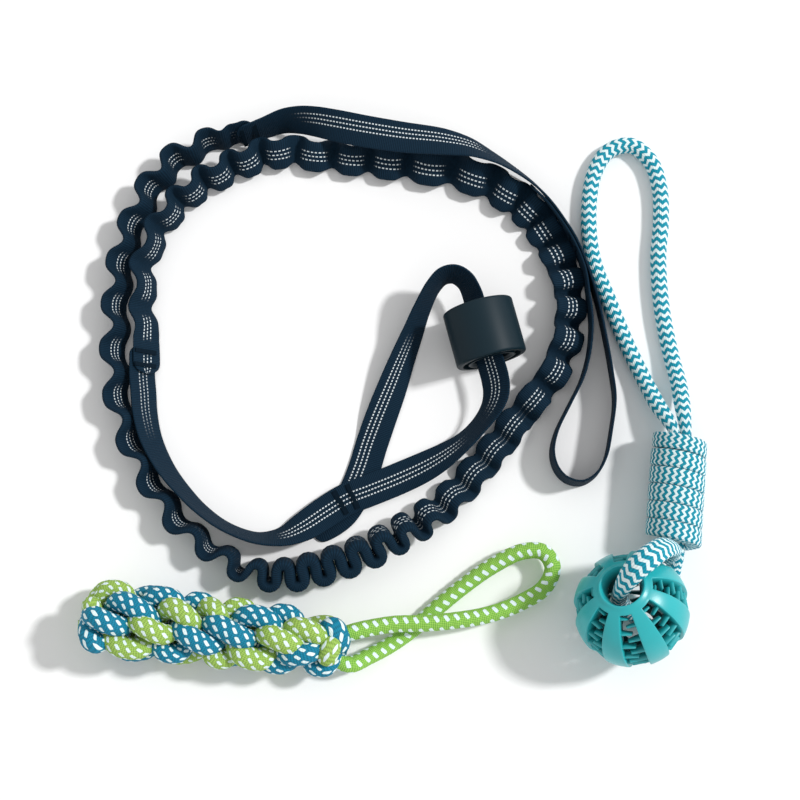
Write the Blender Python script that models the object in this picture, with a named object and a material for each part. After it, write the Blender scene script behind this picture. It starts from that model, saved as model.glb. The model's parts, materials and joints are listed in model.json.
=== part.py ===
"""Spring pole dog toy: a bungee leash with a door stopper, a ball on a rope, and a braided tug.

The set lies on a flat surface at z = 0, with the origin under the middle of its outline.
Lengths are metres. Route tables are in millimetres and degrees, chosen point by point.
"""
import math

import bmesh
import bpy
import numpy as np
from mathutils import Matrix, Vector

# Units
MM = 0.001
TURN = 2 * math.pi

# Gap between pieces that touch on the real product
SEAT_GAP = 0.0003
MERGE_DISTANCE = 0.00001

# Moves the finished layout so that the origin lies under the middle of its outline
ORIGIN_SHIFT = (-0.0025, -0.0045)

# Webbing
WEB_WIDTH = 0.020
WEB_THICKNESS = 0.0016
WEB_STEP = 0.0068
LAYER_PITCH = WEB_THICKNESS + SEAT_GAP

# Shirred bungee sleeve: a flat tube of webbing over an elastic strip
SLEEVE_WIDTH = 0.021
SLEEVE_THICKNESS = 0.0022
SLEEVE_SWELL_SHARE = 0.42
SLEEVE_FLAT_END = 0.020
SLEEVE_SWELL_LENGTH = 0.012
STATIONS_PER_WAVE = 8
MEANDER_LEAN_SHARE = 0.8
MEANDER_EASE_SHARE = 2.5
REST_STEPS = 12

# Stopper that catches behind a closed door
STOPPER_DIAMETER = 0.044
STOPPER_LENGTH = 0.035
STOPPER_BORE_CLEARANCE = 0.002
STOPPER_BORE = WEB_WIDTH + 2 * STOPPER_BORE_CLEARANCE
STOPPER_EDGE_RADIUS = 0.0016
STOPPER_EDGE_STEPS = 3
STOPPER_RIM_WIDTH = 0.0035
STOPPER_RECESS_DEPTH = 0.0030
STOPPER_COLLAR_WALL = 0.0028
STOPPER_SIDES = 40
STOPPER_MIDDLE = (0.0565, 0.0360)
STOPPER_AXIS_END = (0.0610, 0.0190)

# Ropes
ROPE_DIAMETER = 0.010
ROPE_STEP = 0.0064
KNOT_LEG_SHARE = 0.68
WRAP_TURNS = 5.5
WRAP_PITCH = 0.0107
WRAP_OUTER_DIAMETER = 0.0348
WRAP_POINTS_PER_TURN = 24
WRAP_TOP = (0.1758, -0.0259, 0.0176)
WRAP_BOTTOM = (0.1692, -0.0945, 0.0178)

# Treat ball
BALL_DIAMETER = 0.068
BALL_WALL = 0.0080
BALL_HOLE = 0.025
BALL_LIFT = 0.0030
BALL_PLACE = (0.1406, -0.1332)
BALL_POLE = (-0.290, 0.370, 0.883)
BALL_SLOTS = 8
BALL_SLOT_START = math.radians(31)
TEETH_PER_SIDE = 7
BALL_CELLS_PER_SLOT = 3
TOOTH_REACH_SHARE = 0.58
TOOTH_EDGE_SHARE = 0.16

# Braided tug
TUG_DIAMETER = 0.050
TUG_RIGHT_DIAMETER = 0.041
TUG_LEFT = (-0.1870, -0.1368)
TUG_RIGHT = (-0.0250, -0.1550)
TUG_COLUMNS = 8
TUG_FIRST_COLUMN = math.radians(16)
TUG_TWIST = math.radians(35)
PLAIT_START = 0.0225
PLAIT_PITCH = 0.0284
PLAIT_STEP_SHARE = 3 / 8
PLAIT_RISE = 0.0062
PLAIT_HALF_LENGTH = 0.0165
PLAIT_HALF_WIDTH = 0.0082
PLAIT_SLANT = math.radians(-24)
TUG_SIDES = 32
TUG_RINGS = 40
TUG_EASE_SHARE = 0.35
TUG_FIRST_RING_SHARE = 0.35
TUG_END_ROUND = 0.013

# Bar tacks: dense blocks of thread across the webbing
TACK_LENGTH = 0.0165
TACK_WIDTH = 0.0026
TACK_HEIGHT = 0.0007
TACK_SPACING = 0.0085
ANCHOR_SEAM = (-0.0300, -0.0655)
TOY_SEAM_FROM_END = 0.051

# Under these angles, in degrees, neighbouring faces are shaded as one surface
SMOOTH_UNDER = 35
BALL_SMOOTH_UNDER = 40
TUG_SMOOTH_UNDER = 60
SLEEVE_SMOOTH_UNDER = 80

# Bungee sleeve route: x, y, tilt of the band's face from outward to up, wave height, wave
# pitch, and how far the tilt sways over one wave
SLEEVE_ROUTE = [
    (-153.0, 13, 138, 0.0, 22, 0), (-153.2, 24, 138, 0.0, 22, 0), (-153.8, 36, 139, 0.2, 24, 0),
    (-155.0, 50, 141, 1.4, 27, 5), (-155.8, 64, 144, 2.2, 27, 7), (-155.6, 78, 147, 2.6, 27, 8),
    (-152.4, 92.5, 148, 2.7, 26, 8), (-146, 107, 147, 2.9, 23, 8), (-136.8, 120, 145, 3.3, 21, 9),
    (-126, 130.5, 143, 3.6, 20, 8), (-113.0, 139.5, 139, 3.8, 20, 8),
    (-97, 148, 133, 3.8, 20, 8), (-83, 154, 126, 3.8, 20, 8), (-68.5, 156.5, 120, 3.8, 22, 8),
    (-56, 155.5, 115, 3.8, 24, 8), (-40, 153.5, 112, 3.8, 24, 8), (-17, 151, 112, 3.8, 23, 8),
    (4, 148.3, 113, 3.9, 25, 8), (20.5, 145.8, 114, 4.0, 29, 8), (35, 143.3, 114, 4.0, 29, 8),
    (50.5, 139, 114, 3.9, 26, 8), (64.4, 132.4, 113, 3.6, 23, 6), (76.5, 124.8, 110, 3.3, 18, 4),
    (87.2, 114.8, 104, 3.1, 16, 4), (97.0, 100.2, 92, 3.0, 17, 4), (104.1, 83.8, 76, 3.1, 17, 4),
    (109.0, 64.6, 60, 3.4, 18, 4), (108.8, 45.5, 54, 3.6, 20, 5), (104.9, 27.4, 55, 3.9, 22, 7),
    (98.0, 11.3, 62, 4.0, 22, 8), (88.2, -2.0, 72, 3.6, 22, 8), (77.3, -15.2, 82, 3.2, 20, 7),
    (67.1, -28.6, 88, 3.0, 19, 7), (56.4, -41.4, 92, 3.0, 19, 7), (43.8, -55.8, 98, 3.2, 19.5, 7),
    (31, -68.5, 108, 3.6, 19, 6), (16.5, -79, 124, 4.8, 17, 5), (2.5, -87.5, 140, 5.8, 16, 4),
    (-15, -97, 153, 6.6, 16, 3), (-31, -103.5, 160, 6.8, 15.8, 2), (-46, -108, 162, 6.8, 15.8, 2),
    (-61, -111, 163, 6.6, 15.8, 2), (-75.5, -111.5, 162, 5.9, 17, 3), (-90.5, -107.5, 160, 4.8, 20, 5),
    (-103, -99.5, 158, 3.9, 23, 7), (-114.5, -92, 158, 3.6, 25, 8), (-124.5, -84, 158, 3.5, 26, 9),
    (-140, -66, 158, 3.4, 28, 9), (-154.8, -40.5, 158, 3.3, 29, 9), (-165.5, -16, 158, 3.3, 30, 9),
    (-171, 10.5, 158, 3.3, 30, 9), (-172.2, 34, 157, 3.2, 29, 9), (-172.2, 53.5, 157, 3.0, 28, 9),
    (-171.2, 74, 156, 2.8, 27, 8), (-168.2, 94, 156, 2.8, 26, 8), (-159.2, 119, 155, 3.2, 26, 8),
    (-149, 138.5, 154, 3.6, 24, 8), (-134, 153.5, 154, 3.7, 24, 8), (-122, 160.2, 155, 3.2, 24, 6),
    (-110, 165, 155, 2.0, 20, 3), (-99, 168.8, 155, 0.1, 12, 0), (-88.5, 172.6, 155, 0.0, 12, 0),
]

# Anchor webbing route: x, y, z and roll, from the sleeve, round the door loop and back
ANCHOR_ROUTE = [
    (-156.0, 31, 8.5, -48), (-155.9, 22, 8.5, -48), (-155.7, 12, 8.5, -48), (-154.7, 2, 8.2, -48),
    (-153.2, -12, 8.4, -50), (-149.0, -28, 8.9, -55), (-139, -47, 9.5, -62),
    (-125, -64.0, 9.8, -68), (-116, -72.6, 9.8, -70), (-103.6, -81.4, 9.8, -71), (-89.5, -87.5, 9.7, -69),
    (-79.6, -89.4, 9.4, -64), (-66, -87.8, 8.6, -48), (-54.5, -82, 6.6, -22), (-41, -72.5, 3.4, -3),
    (-28, -64.5, 2.8, 0), (-14, -59, 2.8, 0), (4.5, -51.5, 3.2, -3), (20, -44.7, 6.2, -18),
    (32.5, -38, 9.6, -36), (44, -29.8, 13.2, -52), (54, -19.5, 16.6, -56), (61.3, -8.5, 19.8, -47),
    (63.5, -0.2, 20.7, -40), (62.8, 7.8, 20.8, -38), (59.9, 18.7, 20.8, -40), (55.5, 35.7, 20.8, -47),
    (51.1, 52.7, 20.8, -55), (49.3, 60.3, 21.3, -59), (45.0, 68.7, 22.8, -65), (38.4, 72.7, 24, -69),
    (31.2, 71.6, 23.0, -70), (25.0, 65.6, 20.5, -69), (17.9, 52.4, 15.0, -63), (11.8, 37.2, 9.5, -53),
    (5.6, 21.3, 7.4, -42), (-0.8, 3.8, 5.2, -26), (-7.2, -13.2, 3.0, -12), (-13.0, -30, 1.0, 0),
    (-17.5, -45, 0.8, 0), (-23.5, -60, 0.8, 0), (-31.3, -72.6, 0.8, 0), (-42.0, -80.2, 0.8, 0),
    (-50.5, -83, 0.8, 0),
]

# Toy strap route: x, y, z and roll, from the sleeve to the toy loop and back to the strap
TOY_ROUTE = [
    (-99.6, 165.9, 9.6, 65), (-90.5, 169.2, 9.6, 65), (-81.5, 172.8, 9.6, 64), (-71, 175.8, 11.5, 60),
    (-59.5, 175.2, 16.5, 52), (-49, 172.5, 21.5, 42), (-37.5, 168.8, 25.5, 29), (-20, 164.5, 27.5, 13),
    (5.8, 160.2, 27.5, 0), (31.7, 157.6, 26.5, -18), (48.2, 155.3, 23.5, -38), (60, 151.7, 19.5, -53),
    (70.2, 147.2, 16.0, -63), (88.2, 135.4, 12.5, -72), (98.8, 124.5, 11.4, -77), (107.2, 112.2, 10.8, -81),
    (115.6, 96.8, 10.4, -85), (121.7, 79.5, 10.3, -88), (127.2, 60.5, 10.3, -88), (132, 36, 10.3, -88),
    (135.5, 13, 10.3, -88), (137, -4, 10.3, -88), (134.5, -22.5, 10.3, -88), (130.5, -40.5, 10.3, -88),
    (124.5, -50.5, 10.3, -88), (116, -55.5, 10.3, -88), (106.5, -53.5, 10.3, -88), (100.5, -47, 10.3, -88),
    (98, -37, 10.3, -88), (100.5, -24.5, 10.3, -88), (109, -7, 10.3, -88), (117.2, 9.5, 10.3, -88),
    (122.0, 27, 10.3, -89), (123.6, 45.5, 10.3, -90), (122.2, 62, 10.3, -91),
]
TOY_FOLD_FROM = 13
TOY_FOLD_TO = 17

# Rope routes: x, y, z and thickness against the rope's own
HAND_LOOP_ROUTE = [
    (178.9, -17, 16.3, 0.84), (178.4, -7, 13.0, 1), (177.2, 8, 8.5, 1), (174.0, 24, 5.6, 1),
    (169.0, 54.5, 5.1, 1), (167.6, 87, 5.1, 1), (170.0, 113, 5.1, 1), (169.6, 134.5, 5.1, 1),
    (164.2, 152, 5.1, 1), (152.2, 162.3, 5.1, 1), (138, 158.6, 5.1, 1), (128.5, 144, 5.1, 1),
    (124.2, 116.5, 5.1, 1), (126.5, 87, 5.1, 1), (135.5, 61, 5.1, 1), (146.5, 32, 5.1, 1),
    (157.0, 8, 7.0, 1), (163.6, -7, 11.0, 1), (168.9, -17, 15.5, 0.84),
]
BALL_LOOP_ROUTE = [
    (165.2, -98.5, 18.6, 0.76), (165.4, -101.8, 23, 0.86), (165.5, -101.0, 29.5, 0.95),
    (165.2, -99.2, 37, 1), (164.0, -98.4, 45, 1.08), (161.0, -98.2, 55, 1.15), (156.0, -99.6, 64, 1.2),
    (150.2, -102.8, 70.3, 1.2), (144.5, -107.0, 73.6, 1.2), (138.8, -112.0, 72.8, 1.2),
    (134.6, -117.0, 68.5, 1.15), (132.2, -121.5, 61.5, 1.1), (131.8, -125.5, 51.5, 1.05),
    (134.0, -129.0, 40.0, 1), (138.5, -132.6, 29.0, 0.95), (144.2, -136.3, 20.0, 0.90),
    (150.4, -140.2, 12.8, 0.94), (157.4, -144.0, 8.2, 0.98), (164.0, -145.4, 5.4, 1),
    (170.0, -142.5, 5.1, 1), (172.0, -135, 5.1, 1), (171.2, -125, 5.1, 1), (170.0, -115, 6.0, 1),
    (171.0, -106.5, 9.8, 0.95), (172.8, -100.0, 14.8, 0.78),
]
TUG_LOOP_ROUTE = [
    (-25.2, -165.2, 15.2, 1), (-14.5, -160.5, 10.0, 1), (-1.5, -153.5, 5.8, 1), (13.5, -143.0, 5.1, 1),
    (29, -129.5, 5.1, 1), (44, -117.5, 5.8, 1), (60, -106.5, 8.0, 1), (79, -97.5, 11.0, 1),
    (91.5, -98.0, 12.0, 1), (97, -107.0, 12.0, 1), (92, -119.0, 11.0, 1), (78, -128.0, 10.0, 1),
    (58, -135.5, 12.0, 1), (35, -139.5, 15.8, 1), (17, -141.0, 17.6, 1), (2, -141.4, 18.5, 1),
    (-11.5, -143.4, 19.9, 1), (-22.9, -146.0, 21.5, 1),
]

COLOURS = {
    "black_webbing": ((0.012, 0.016, 0.024), 0.85),
    "black_thread": ((0.02, 0.022, 0.028), 0.7),
    "black_rubber": ((0.02, 0.022, 0.025), 0.45),
    "teal_rubber": ((0.03, 0.42, 0.42), 0.4),
    "teal_white_rope": ((0.15, 0.5, 0.6), 0.9),
    "green_teal_rope": ((0.16, 0.42, 0.3), 0.9),
    "green_rope": ((0.3, 0.6, 0.12), 0.9),
}


def clear_scene():
    for old in list(bpy.data.objects):
        bpy.data.objects.remove(old)


def finish_of(name):
    found = bpy.data.materials.get(name)
    if found:
        return found
    colour, roughness = COLOURS[name]
    made = bpy.data.materials.new(name)
    made.use_nodes = True
    shader = made.node_tree.nodes["Principled BSDF"]
    shader.inputs["Base Color"].default_value = (*colour, 1)
    shader.inputs["Roughness"].default_value = roughness
    shader.inputs["Metallic"].default_value = 0
    return made


def place(name, data, finish):
    data.materials.append(finish_of(finish))
    piece = bpy.data.objects.new(name, data)
    bpy.context.collection.objects.link(piece)
    return piece


def mesh_piece(name, bm, finish, smooth_under=SMOOTH_UNDER):
    """Turn a finished bmesh into a named object with its faces pointing out."""
    bmesh.ops.recalc_face_normals(bm, faces=bm.faces)
    data = bpy.data.meshes.new(name)
    bm.to_mesh(data)
    bm.free()
    data.shade_smooth()
    data.set_sharp_from_angle(angle=math.radians(smooth_under))
    return place(name, data, finish)


def in_metres(route, lengths):
    """Turn the first columns of a route table from millimetres to metres."""
    table = np.array(route, float)
    table[:, :lengths] *= MM
    return table


def smooth_curve(points, per_span=24):
    """Read a dense smooth curve through the rows of a table, all columns alike."""
    rows = np.array(points, float)
    rows = np.vstack([2 * rows[0] - rows[1], rows, 2 * rows[-1] - rows[-2]])
    steps = np.linspace(0, 1, per_span, endpoint=False)[:, None]
    out = []
    for before, start, end, after in zip(rows, rows[1:], rows[2:], rows[3:]):
        near = math.sqrt(np.linalg.norm(start[:3] - before[:3]))
        span = math.sqrt(np.linalg.norm(end[:3] - start[:3]))
        far = math.sqrt(np.linalg.norm(after[:3] - end[:3]))
        leave = (start - before) / near - (end - before) / (near + span) + (end - start) / span
        arrive = (end - start) / span - (after - start) / (span + far) + (after - end) / far
        leave, arrive = leave * span, arrive * span
        cubic = 2 * start - 2 * end + leave + arrive
        square = 3 * end - 3 * start - 2 * leave - arrive
        out.append(((cubic * steps + square) * steps + leave) * steps + start)
    out.append(rows[-2][None])
    return np.vstack(out)


def run_lengths(rows, width=3):
    """Give the distance along a curve at each of its rows."""
    hops = np.linalg.norm(np.diff(rows[:, :width], axis=0), axis=1)
    return np.concatenate([[0], np.cumsum(hops)])


def read_at(rows, along, wanted):
    """Read every column of a dense curve at the wanted distances."""
    return np.array([np.interp(wanted, along, rows[:, c]) for c in range(rows.shape[1])]).T


def even_samples(rows, step):
    along = run_lengths(rows)
    count = max(2, int(round(along[-1] / step)) + 1)
    return read_at(rows, along, np.linspace(0, along[-1], count))


def frames_along(points, rolls):
    """Give each point's forward, width and face directions on a strip rolled about its path."""
    forward = np.gradient(points, axis=0)
    forward /= np.linalg.norm(forward, axis=1)[:, None]
    left = np.cross((0, 0, 1), forward)
    left /= np.linalg.norm(left, axis=1)[:, None]
    face = np.cross(forward, left)
    cosine, sine = np.cos(rolls)[:, None], np.sin(rolls)[:, None]
    return forward, cosine * left + sine * face, cosine * face - sine * left


def loft(name, rings, finish, smooth_under=SMOOTH_UNDER):
    """Skin a run of equal rings and close both ends."""
    bm = bmesh.new()
    loops = [[bm.verts.new(corner) for corner in ring] for ring in rings]
    for near, far in zip(loops, loops[1:]):
        for here in range(len(near)):
            after = (here + 1) % len(near)
            bm.faces.new((near[here], near[after], far[after], far[here]))
    bm.faces.new(reversed(loops[0]))
    bm.faces.new(loops[-1])
    return mesh_piece(name, bm, finish, smooth_under)


def strip_samples(route):
    """Read a webbing route as evenly spaced x, y, z and roll, never below the floor."""
    samples = even_samples(smooth_curve(route), WEB_STEP)
    rolls = np.radians(samples[:, 3])
    reach = np.abs(np.sin(rolls)) * WEB_WIDTH / 2 + np.abs(np.cos(rolls)) * WEB_THICKNESS / 2
    samples[:, 2] = np.maximum(samples[:, 2], reach)
    return samples


def webbing(name, samples):
    """Sweep the webbing's flat section along its samples."""
    points, rolls = samples[:, :3], np.radians(samples[:, 3])
    width_way, face_way = frames_along(points, rolls)[1:]
    across, through = WEB_WIDTH / 2, WEB_THICKNESS / 2
    rings = []
    for centre, wide, face in zip(points, width_way, face_way):
        corners = ((across, through), (-across, through), (-across, -through), (across, -through))
        rings.append([Vector(centre + wide * u + face * v) for u, v in corners])
    return loft(name, rings, "black_webbing")


def bar_tack(name, samples, distance, layers):
    """Lay one block of thread across a strip, on top of any further layers sewn to its face."""
    along = run_lengths(samples)
    points, rolls = samples[:, :3], np.radians(samples[:, 3])
    forward, wide, face = frames_along(points, rolls)
    spot = (Vector(read_at(v, along, [distance])[0]) for v in (points, forward, wide, face))
    centre, ahead, across, out = spot
    rise = (WEB_THICKNESS + TACK_HEIGHT) / 2 + SEAT_GAP + LAYER_PITCH * layers
    bm = bmesh.new()
    bmesh.ops.create_cube(bm, size=1)
    bmesh.ops.scale(bm, vec=(TACK_LENGTH, TACK_WIDTH, TACK_HEIGHT), verts=bm.verts)
    out.normalize()
    ahead = (ahead - out * ahead.dot(out)).normalized()
    turn = Matrix((out.cross(ahead), ahead, out)).transposed().to_4x4()
    bmesh.ops.transform(bm, matrix=Matrix.Translation(centre + out * rise) @ turn, verts=bm.verts)
    return mesh_piece(name, bm, "black_thread")


def rope(name, samples, finish, resolution=2):
    """Make a round rope as a curve with a bevel, thickened or pinched point by point."""
    data = bpy.data.curves.new(name, "CURVE")
    data.dimensions = "3D"
    data.bevel_depth = ROPE_DIAMETER / 2
    data.bevel_resolution = resolution
    data.use_fill_caps = True
    data.twist_mode = "MINIMUM"
    line = data.splines.new("POLY")
    line.points.add(len(samples) - 1)
    for point, row in zip(line.points, samples):
        point.radius = row[3]
        point.co = (row[0], row[1], max(row[2], data.bevel_depth * row[3]), 1)
    line.use_smooth = True
    return place(name, data, finish)


def meander(phase, height, pitch):
    """Place one point of a shirred wave: how far ahead it leans, and how far off the path it is.

    A tall wave is a meander, whose limbs lean back over each other, so the lean grows with
    the height against the pitch.
    """
    steep = (height / pitch) ** 2
    lean = MEANDER_LEAN_SHARE * steep / (1 + MEANDER_EASE_SHARE * steep)
    return -pitch * lean * math.sin(2 * phase), height * math.sin(phase)


def sleeve_thickness(height):
    """The tube puffs out where its waves are taller."""
    return SLEEVE_THICKNESS + SLEEVE_SWELL_SHARE * height


def rest_height(tilt, sway, height):
    """Height of the band's middle line at which its lowest edge just touches the floor."""
    lowest = 0
    for step in range(REST_STEPS):
        phase = TURN * step / REST_STEPS
        local = tilt + sway * math.sin(phase)
        thick = abs(math.sin(local)) * sleeve_thickness(height)
        edge = (abs(math.cos(local)) * SLEEVE_WIDTH + thick) / 2
        lowest = max(lowest, edge - math.sin(tilt) * height * math.sin(phase))
    return lowest


def bungee_sleeve():
    """Loft the shirred sleeve: a flat band that snakes across its own face as it goes round."""
    table = np.array(SLEEVE_ROUTE, float)
    table[:, [0, 1, 3, 4]] *= MM
    table[:, [2, 5]] = np.radians(table[:, [2, 5]])
    flat = np.insert(table, 2, 0, axis=1)
    dense = smooth_curve(flat)
    along = run_lengths(dense)
    pitch = dense[:, 5]
    waves = np.concatenate([[0], np.cumsum(np.diff(along) / ((pitch[1:] + pitch[:-1]) / 2))])
    total = int(waves[-1] * STATIONS_PER_WAVE)
    stops = (np.arange(total) + 0.5) / STATIONS_PER_WAVE
    where = np.interp(stops, waves, along)
    where = np.concatenate([[0], where, [along[-1]]])
    stops = np.concatenate([[0], stops, [waves[-1]]])
    rows = read_at(dense, along, where)
    centres, widths = [], []
    for row, stop, spot in zip(rows, stops, where):
        tilt, height, wave, sway = row[3:7]
        lean, off = meander(TURN * stop, height, wave)
        spot = min(max(spot + lean, 0), along[-1])
        x, y = read_at(dense[:, :2], along, [spot])[0]
        ahead = read_at(dense[:, :2], along, [min(spot + WEB_THICKNESS, along[-1])])[0]
        back = read_at(dense[:, :2], along, [max(spot - WEB_THICKNESS, 0)])[0]
        travel = (ahead - back) / np.linalg.norm(ahead - back)
        left = np.array((-travel[1], travel[0], 0))
        up = np.array((0, 0, 1))
        face = math.cos(tilt) * left + math.sin(tilt) * up
        middle = np.array((x, y, rest_height(tilt, sway, height)))
        centres.append(middle + face * off)
        local = tilt + sway * math.sin(TURN * stop)
        widths.append(math.sin(local) * left - math.cos(local) * up)
    centres, widths = np.array(centres), np.array(widths)
    forward = np.gradient(centres, axis=0)
    forward /= np.linalg.norm(forward, axis=1)[:, None]
    reach = run_lengths(centres)
    rings = []
    for centre, wide, ahead, spot, height in zip(centres, widths, forward, reach, rows[:, 4]):
        wide = wide - ahead * np.dot(wide, ahead)
        wide /= np.linalg.norm(wide)
        face = np.cross(ahead, wide)
        inside = min(spot, reach[-1] - spot) - SLEEVE_FLAT_END
        full = min(1, max(0, inside / SLEEVE_SWELL_LENGTH))
        thick = WEB_THICKNESS + (sleeve_thickness(height) - WEB_THICKNESS) * full
        half, through = SLEEVE_WIDTH / 2, thick / 2
        section = ((half, through), (-half, through), (-half, -through), (half, -through))
        rings.append([Vector(centre + wide * u + face * v) for u, v in section])
    print(f"sleeve waves {waves[-1]:.1f}, relaxed {along[-1]:.3f} m, pulled straight {reach[-1]:.3f} m")
    return loft("bungee_sleeve", rings, "black_webbing", SLEEVE_SMOOTH_UNDER)


def leash_webbing():
    """Make the anchor webbing and the toy strap, with the bar tacks that close their folds."""
    anchor = strip_samples(in_metres(ANCHOR_ROUTE, 3))
    webbing("anchor_webbing", anchor)
    outward = in_metres(TOY_ROUTE, 3)
    rolls = np.radians(outward[:, 3])
    face_way = frames_along(outward[:, :3], rolls)[2]
    folded = []
    for stop in range(TOY_FOLD_TO, TOY_FOLD_FROM - 1, -1):
        layer = outward[stop, :3] - face_way[stop] * LAYER_PITCH
        folded.append((*layer, -180 - outward[stop, 3]))
    strap = strip_samples(np.vstack([outward, folded]))
    webbing("toy_strap", strap)
    return anchor, strap


def tacks(anchor, strap):
    """Sew each seam with a pair of bar tacks."""
    doubled = run_lengths(anchor)[np.argmin(np.linalg.norm(anchor[:, :2] - ANCHOR_SEAM, axis=1))]
    folded = run_lengths(strap)[-1] - TOY_SEAM_FROM_END
    seams = (("anchor_sleeve_tack", anchor, TACK_SPACING / 2, 1),
             ("anchor_loop_tack", anchor, doubled, 0),
             ("toy_sleeve_tack", strap, TACK_SPACING / 2, 0),
             ("toy_loop_tack", strap, folded, 0))
    for name, strip, first, layers in seams:
        for number in range(2):
            bar_tack(f"{name}_{number + 1}", strip, first + number * TACK_SPACING, layers)


def turned(profile, sides):
    """Spin a closed profile of radius and height pairs into a solid ring."""
    bm = bmesh.new()
    corners = [bm.verts.new((radius, 0, height)) for radius, height in profile]
    edges = [bm.edges.new((a, b)) for a, b in zip(corners, corners[1:] + corners[:1])]
    bmesh.ops.spin(bm, geom=corners + edges, cent=(0, 0, 0), axis=(0, 0, 1), angle=TURN,
                   steps=sides, use_merge=True)
    bmesh.ops.remove_doubles(bm, verts=bm.verts, dist=MERGE_DISTANCE)
    return bm


def stopper():
    """Turn the door stopper: round outer edges, recessed ends and a collar round the bore."""
    outer, half = STOPPER_DIAMETER / 2, STOPPER_LENGTH / 2
    bore = STOPPER_BORE / 2
    rim = outer - STOPPER_RIM_WIDTH
    collar = bore + STOPPER_COLLAR_WALL
    floor = half - STOPPER_RECESS_DEPTH
    edge = STOPPER_EDGE_RADIUS
    top = [(bore, half - edge), (bore + edge, half), (collar, half), (collar, floor), (rim, floor),
           (rim, half), (outer - edge, half)]
    for step in range(STOPPER_EDGE_STEPS):
        turn = TURN / 4 * (step + 1) / STOPPER_EDGE_STEPS
        top.append((outer - edge + edge * math.sin(turn), half - edge + edge * math.cos(turn)))
    profile = top + [(radius, -height) for radius, height in reversed(top)]
    bm = turned(profile, STOPPER_SIDES)
    piece = mesh_piece("door_stopper", bm, "black_rubber")
    along = Vector(STOPPER_AXIS_END) - Vector(STOPPER_MIDDLE)
    piece.location = (*STOPPER_MIDDLE, outer)
    piece.rotation_euler = (TURN / 4, 0, math.atan2(along.y, along.x) + TURN / 4)
    return piece


def treat_ball():
    """Spin a hollow ball with a hole at each pole, cut its slots and raise teeth on their walls."""
    outer = BALL_DIAMETER / 2
    inner = outer - BALL_WALL
    lip = math.asin(BALL_HOLE / BALL_DIAMETER)
    cells = TEETH_PER_SIDE * 2
    slot_step = (math.pi - 2 * BALL_SLOT_START) / cells
    crown = (BALL_SLOT_START - lip) / 2
    polar = [lip, lip + crown] + [BALL_SLOT_START + slot_step * n for n in range(cells + 1)]
    polar += [math.pi - lip - crown, math.pi - lip]
    profile = [(outer * math.sin(a), outer * math.cos(a)) for a in polar]
    profile += [(inner * math.sin(a), inner * math.cos(a)) for a in reversed(polar)]
    columns = BALL_SLOTS * BALL_CELLS_PER_SLOT * 2
    bm = turned(profile, columns)
    column = TURN / columns
    slot = BALL_CELLS_PER_SLOT * column

    def angle_of(spot):
        return math.atan2(spot.y, spot.x) % (2 * slot)

    def polar_of(spot):
        return math.atan2(math.hypot(spot.x, spot.y), spot.z)

    cut = [f for f in bm.faces if angle_of(f.calc_center_median()) < slot
           and BALL_SLOT_START < polar_of(f.calc_center_median()) < math.pi - BALL_SLOT_START]
    bmesh.ops.delete(bm, geom=cut, context="FACES")
    whole = set(bm.faces)
    rims = {}
    for edge in bm.edges:
        if edge.is_boundary:
            middle = (edge.verts[0].co + edge.verts[1].co) / 2
            turn = math.atan2(middle.y, middle.x) % TURN
            rims.setdefault(int((turn + slot / 2) / (2 * slot)) % BALL_SLOTS, []).append(edge)
    for edges in rims.values():
        bmesh.ops.bridge_loops(bm, edges=edges)
    bmesh.ops.recalc_face_normals(bm, faces=bm.faces)
    walls = [f for f in bm.faces if f not in whole]
    for wall in walls:
        middle = wall.calc_center_median()
        polar_angle = polar_of(middle)
        cell = int((polar_angle - BALL_SLOT_START) / slot_step)
        side = angle_of(middle)
        near = min(side, 2 * slot - side) < column / 4
        if not near and abs(side - slot) > column / 4:
            continue
        if cell % 2 != (0 if near else 1):
            continue
        gap = slot * middle.length * math.sin(polar_angle)
        bmesh.ops.inset_individual(bm, faces=[wall], thickness=TOOTH_EDGE_SHARE * BALL_WALL)
        bmesh.ops.poke(bm, faces=[wall], offset=TOOTH_REACH_SHARE * gap)
    piece = mesh_piece("treat_ball", bm, "teal_rubber", BALL_SMOOTH_UNDER)
    piece.location = (*BALL_PLACE, outer + BALL_LIFT)
    piece.rotation_mode = "QUATERNION"
    piece.rotation_quaternion = Vector(BALL_POLE).to_track_quat("Z", "Y")
    return piece


def wrap_frame():
    """Give the knot's ends, its direction and two directions across it."""
    top, bottom = Vector(WRAP_TOP), Vector(WRAP_BOTTOM)
    along = (bottom - top).normalized()
    side = along.cross((0, 0, 1)).normalized()
    return top, bottom, along, side, side.cross(along).normalized()


def knot_wrap():
    """Wind the barrel knot: one rope in touching turns round the two legs."""
    top, bottom, along, side, high = wrap_frame()
    radius = (WRAP_OUTER_DIAMETER - ROPE_DIAMETER) / 2
    middle = (top + bottom) / 2
    count = int(WRAP_TURNS * WRAP_POINTS_PER_TURN)
    points = []
    for step in range(count + 1):
        turns = step / WRAP_POINTS_PER_TURN
        angle = TURN * turns
        offset = (turns - WRAP_TURNS / 2) * WRAP_PITCH
        points.append(middle + along * offset + (side * math.cos(angle) + high * math.sin(angle)) * radius)
    half_turn = WRAP_POINTS_PER_TURN // 2
    least = min((a - b).length for i, a in enumerate(points) for b in points[i + half_turn:])
    print(f"knot wrap least gap to itself {(least - ROPE_DIAMETER) / MM:.2f} mm")
    lead = (points[0] - points[1]).normalized() * ROPE_DIAMETER
    tail = (points[-1] - points[-2]).normalized() * ROPE_DIAMETER
    points = [points[0] + lead] + points + [points[-1] + tail]
    return rope("rope_knot_wrap", [(*p, 1) for p in points], "teal_white_rope", 1)


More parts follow.
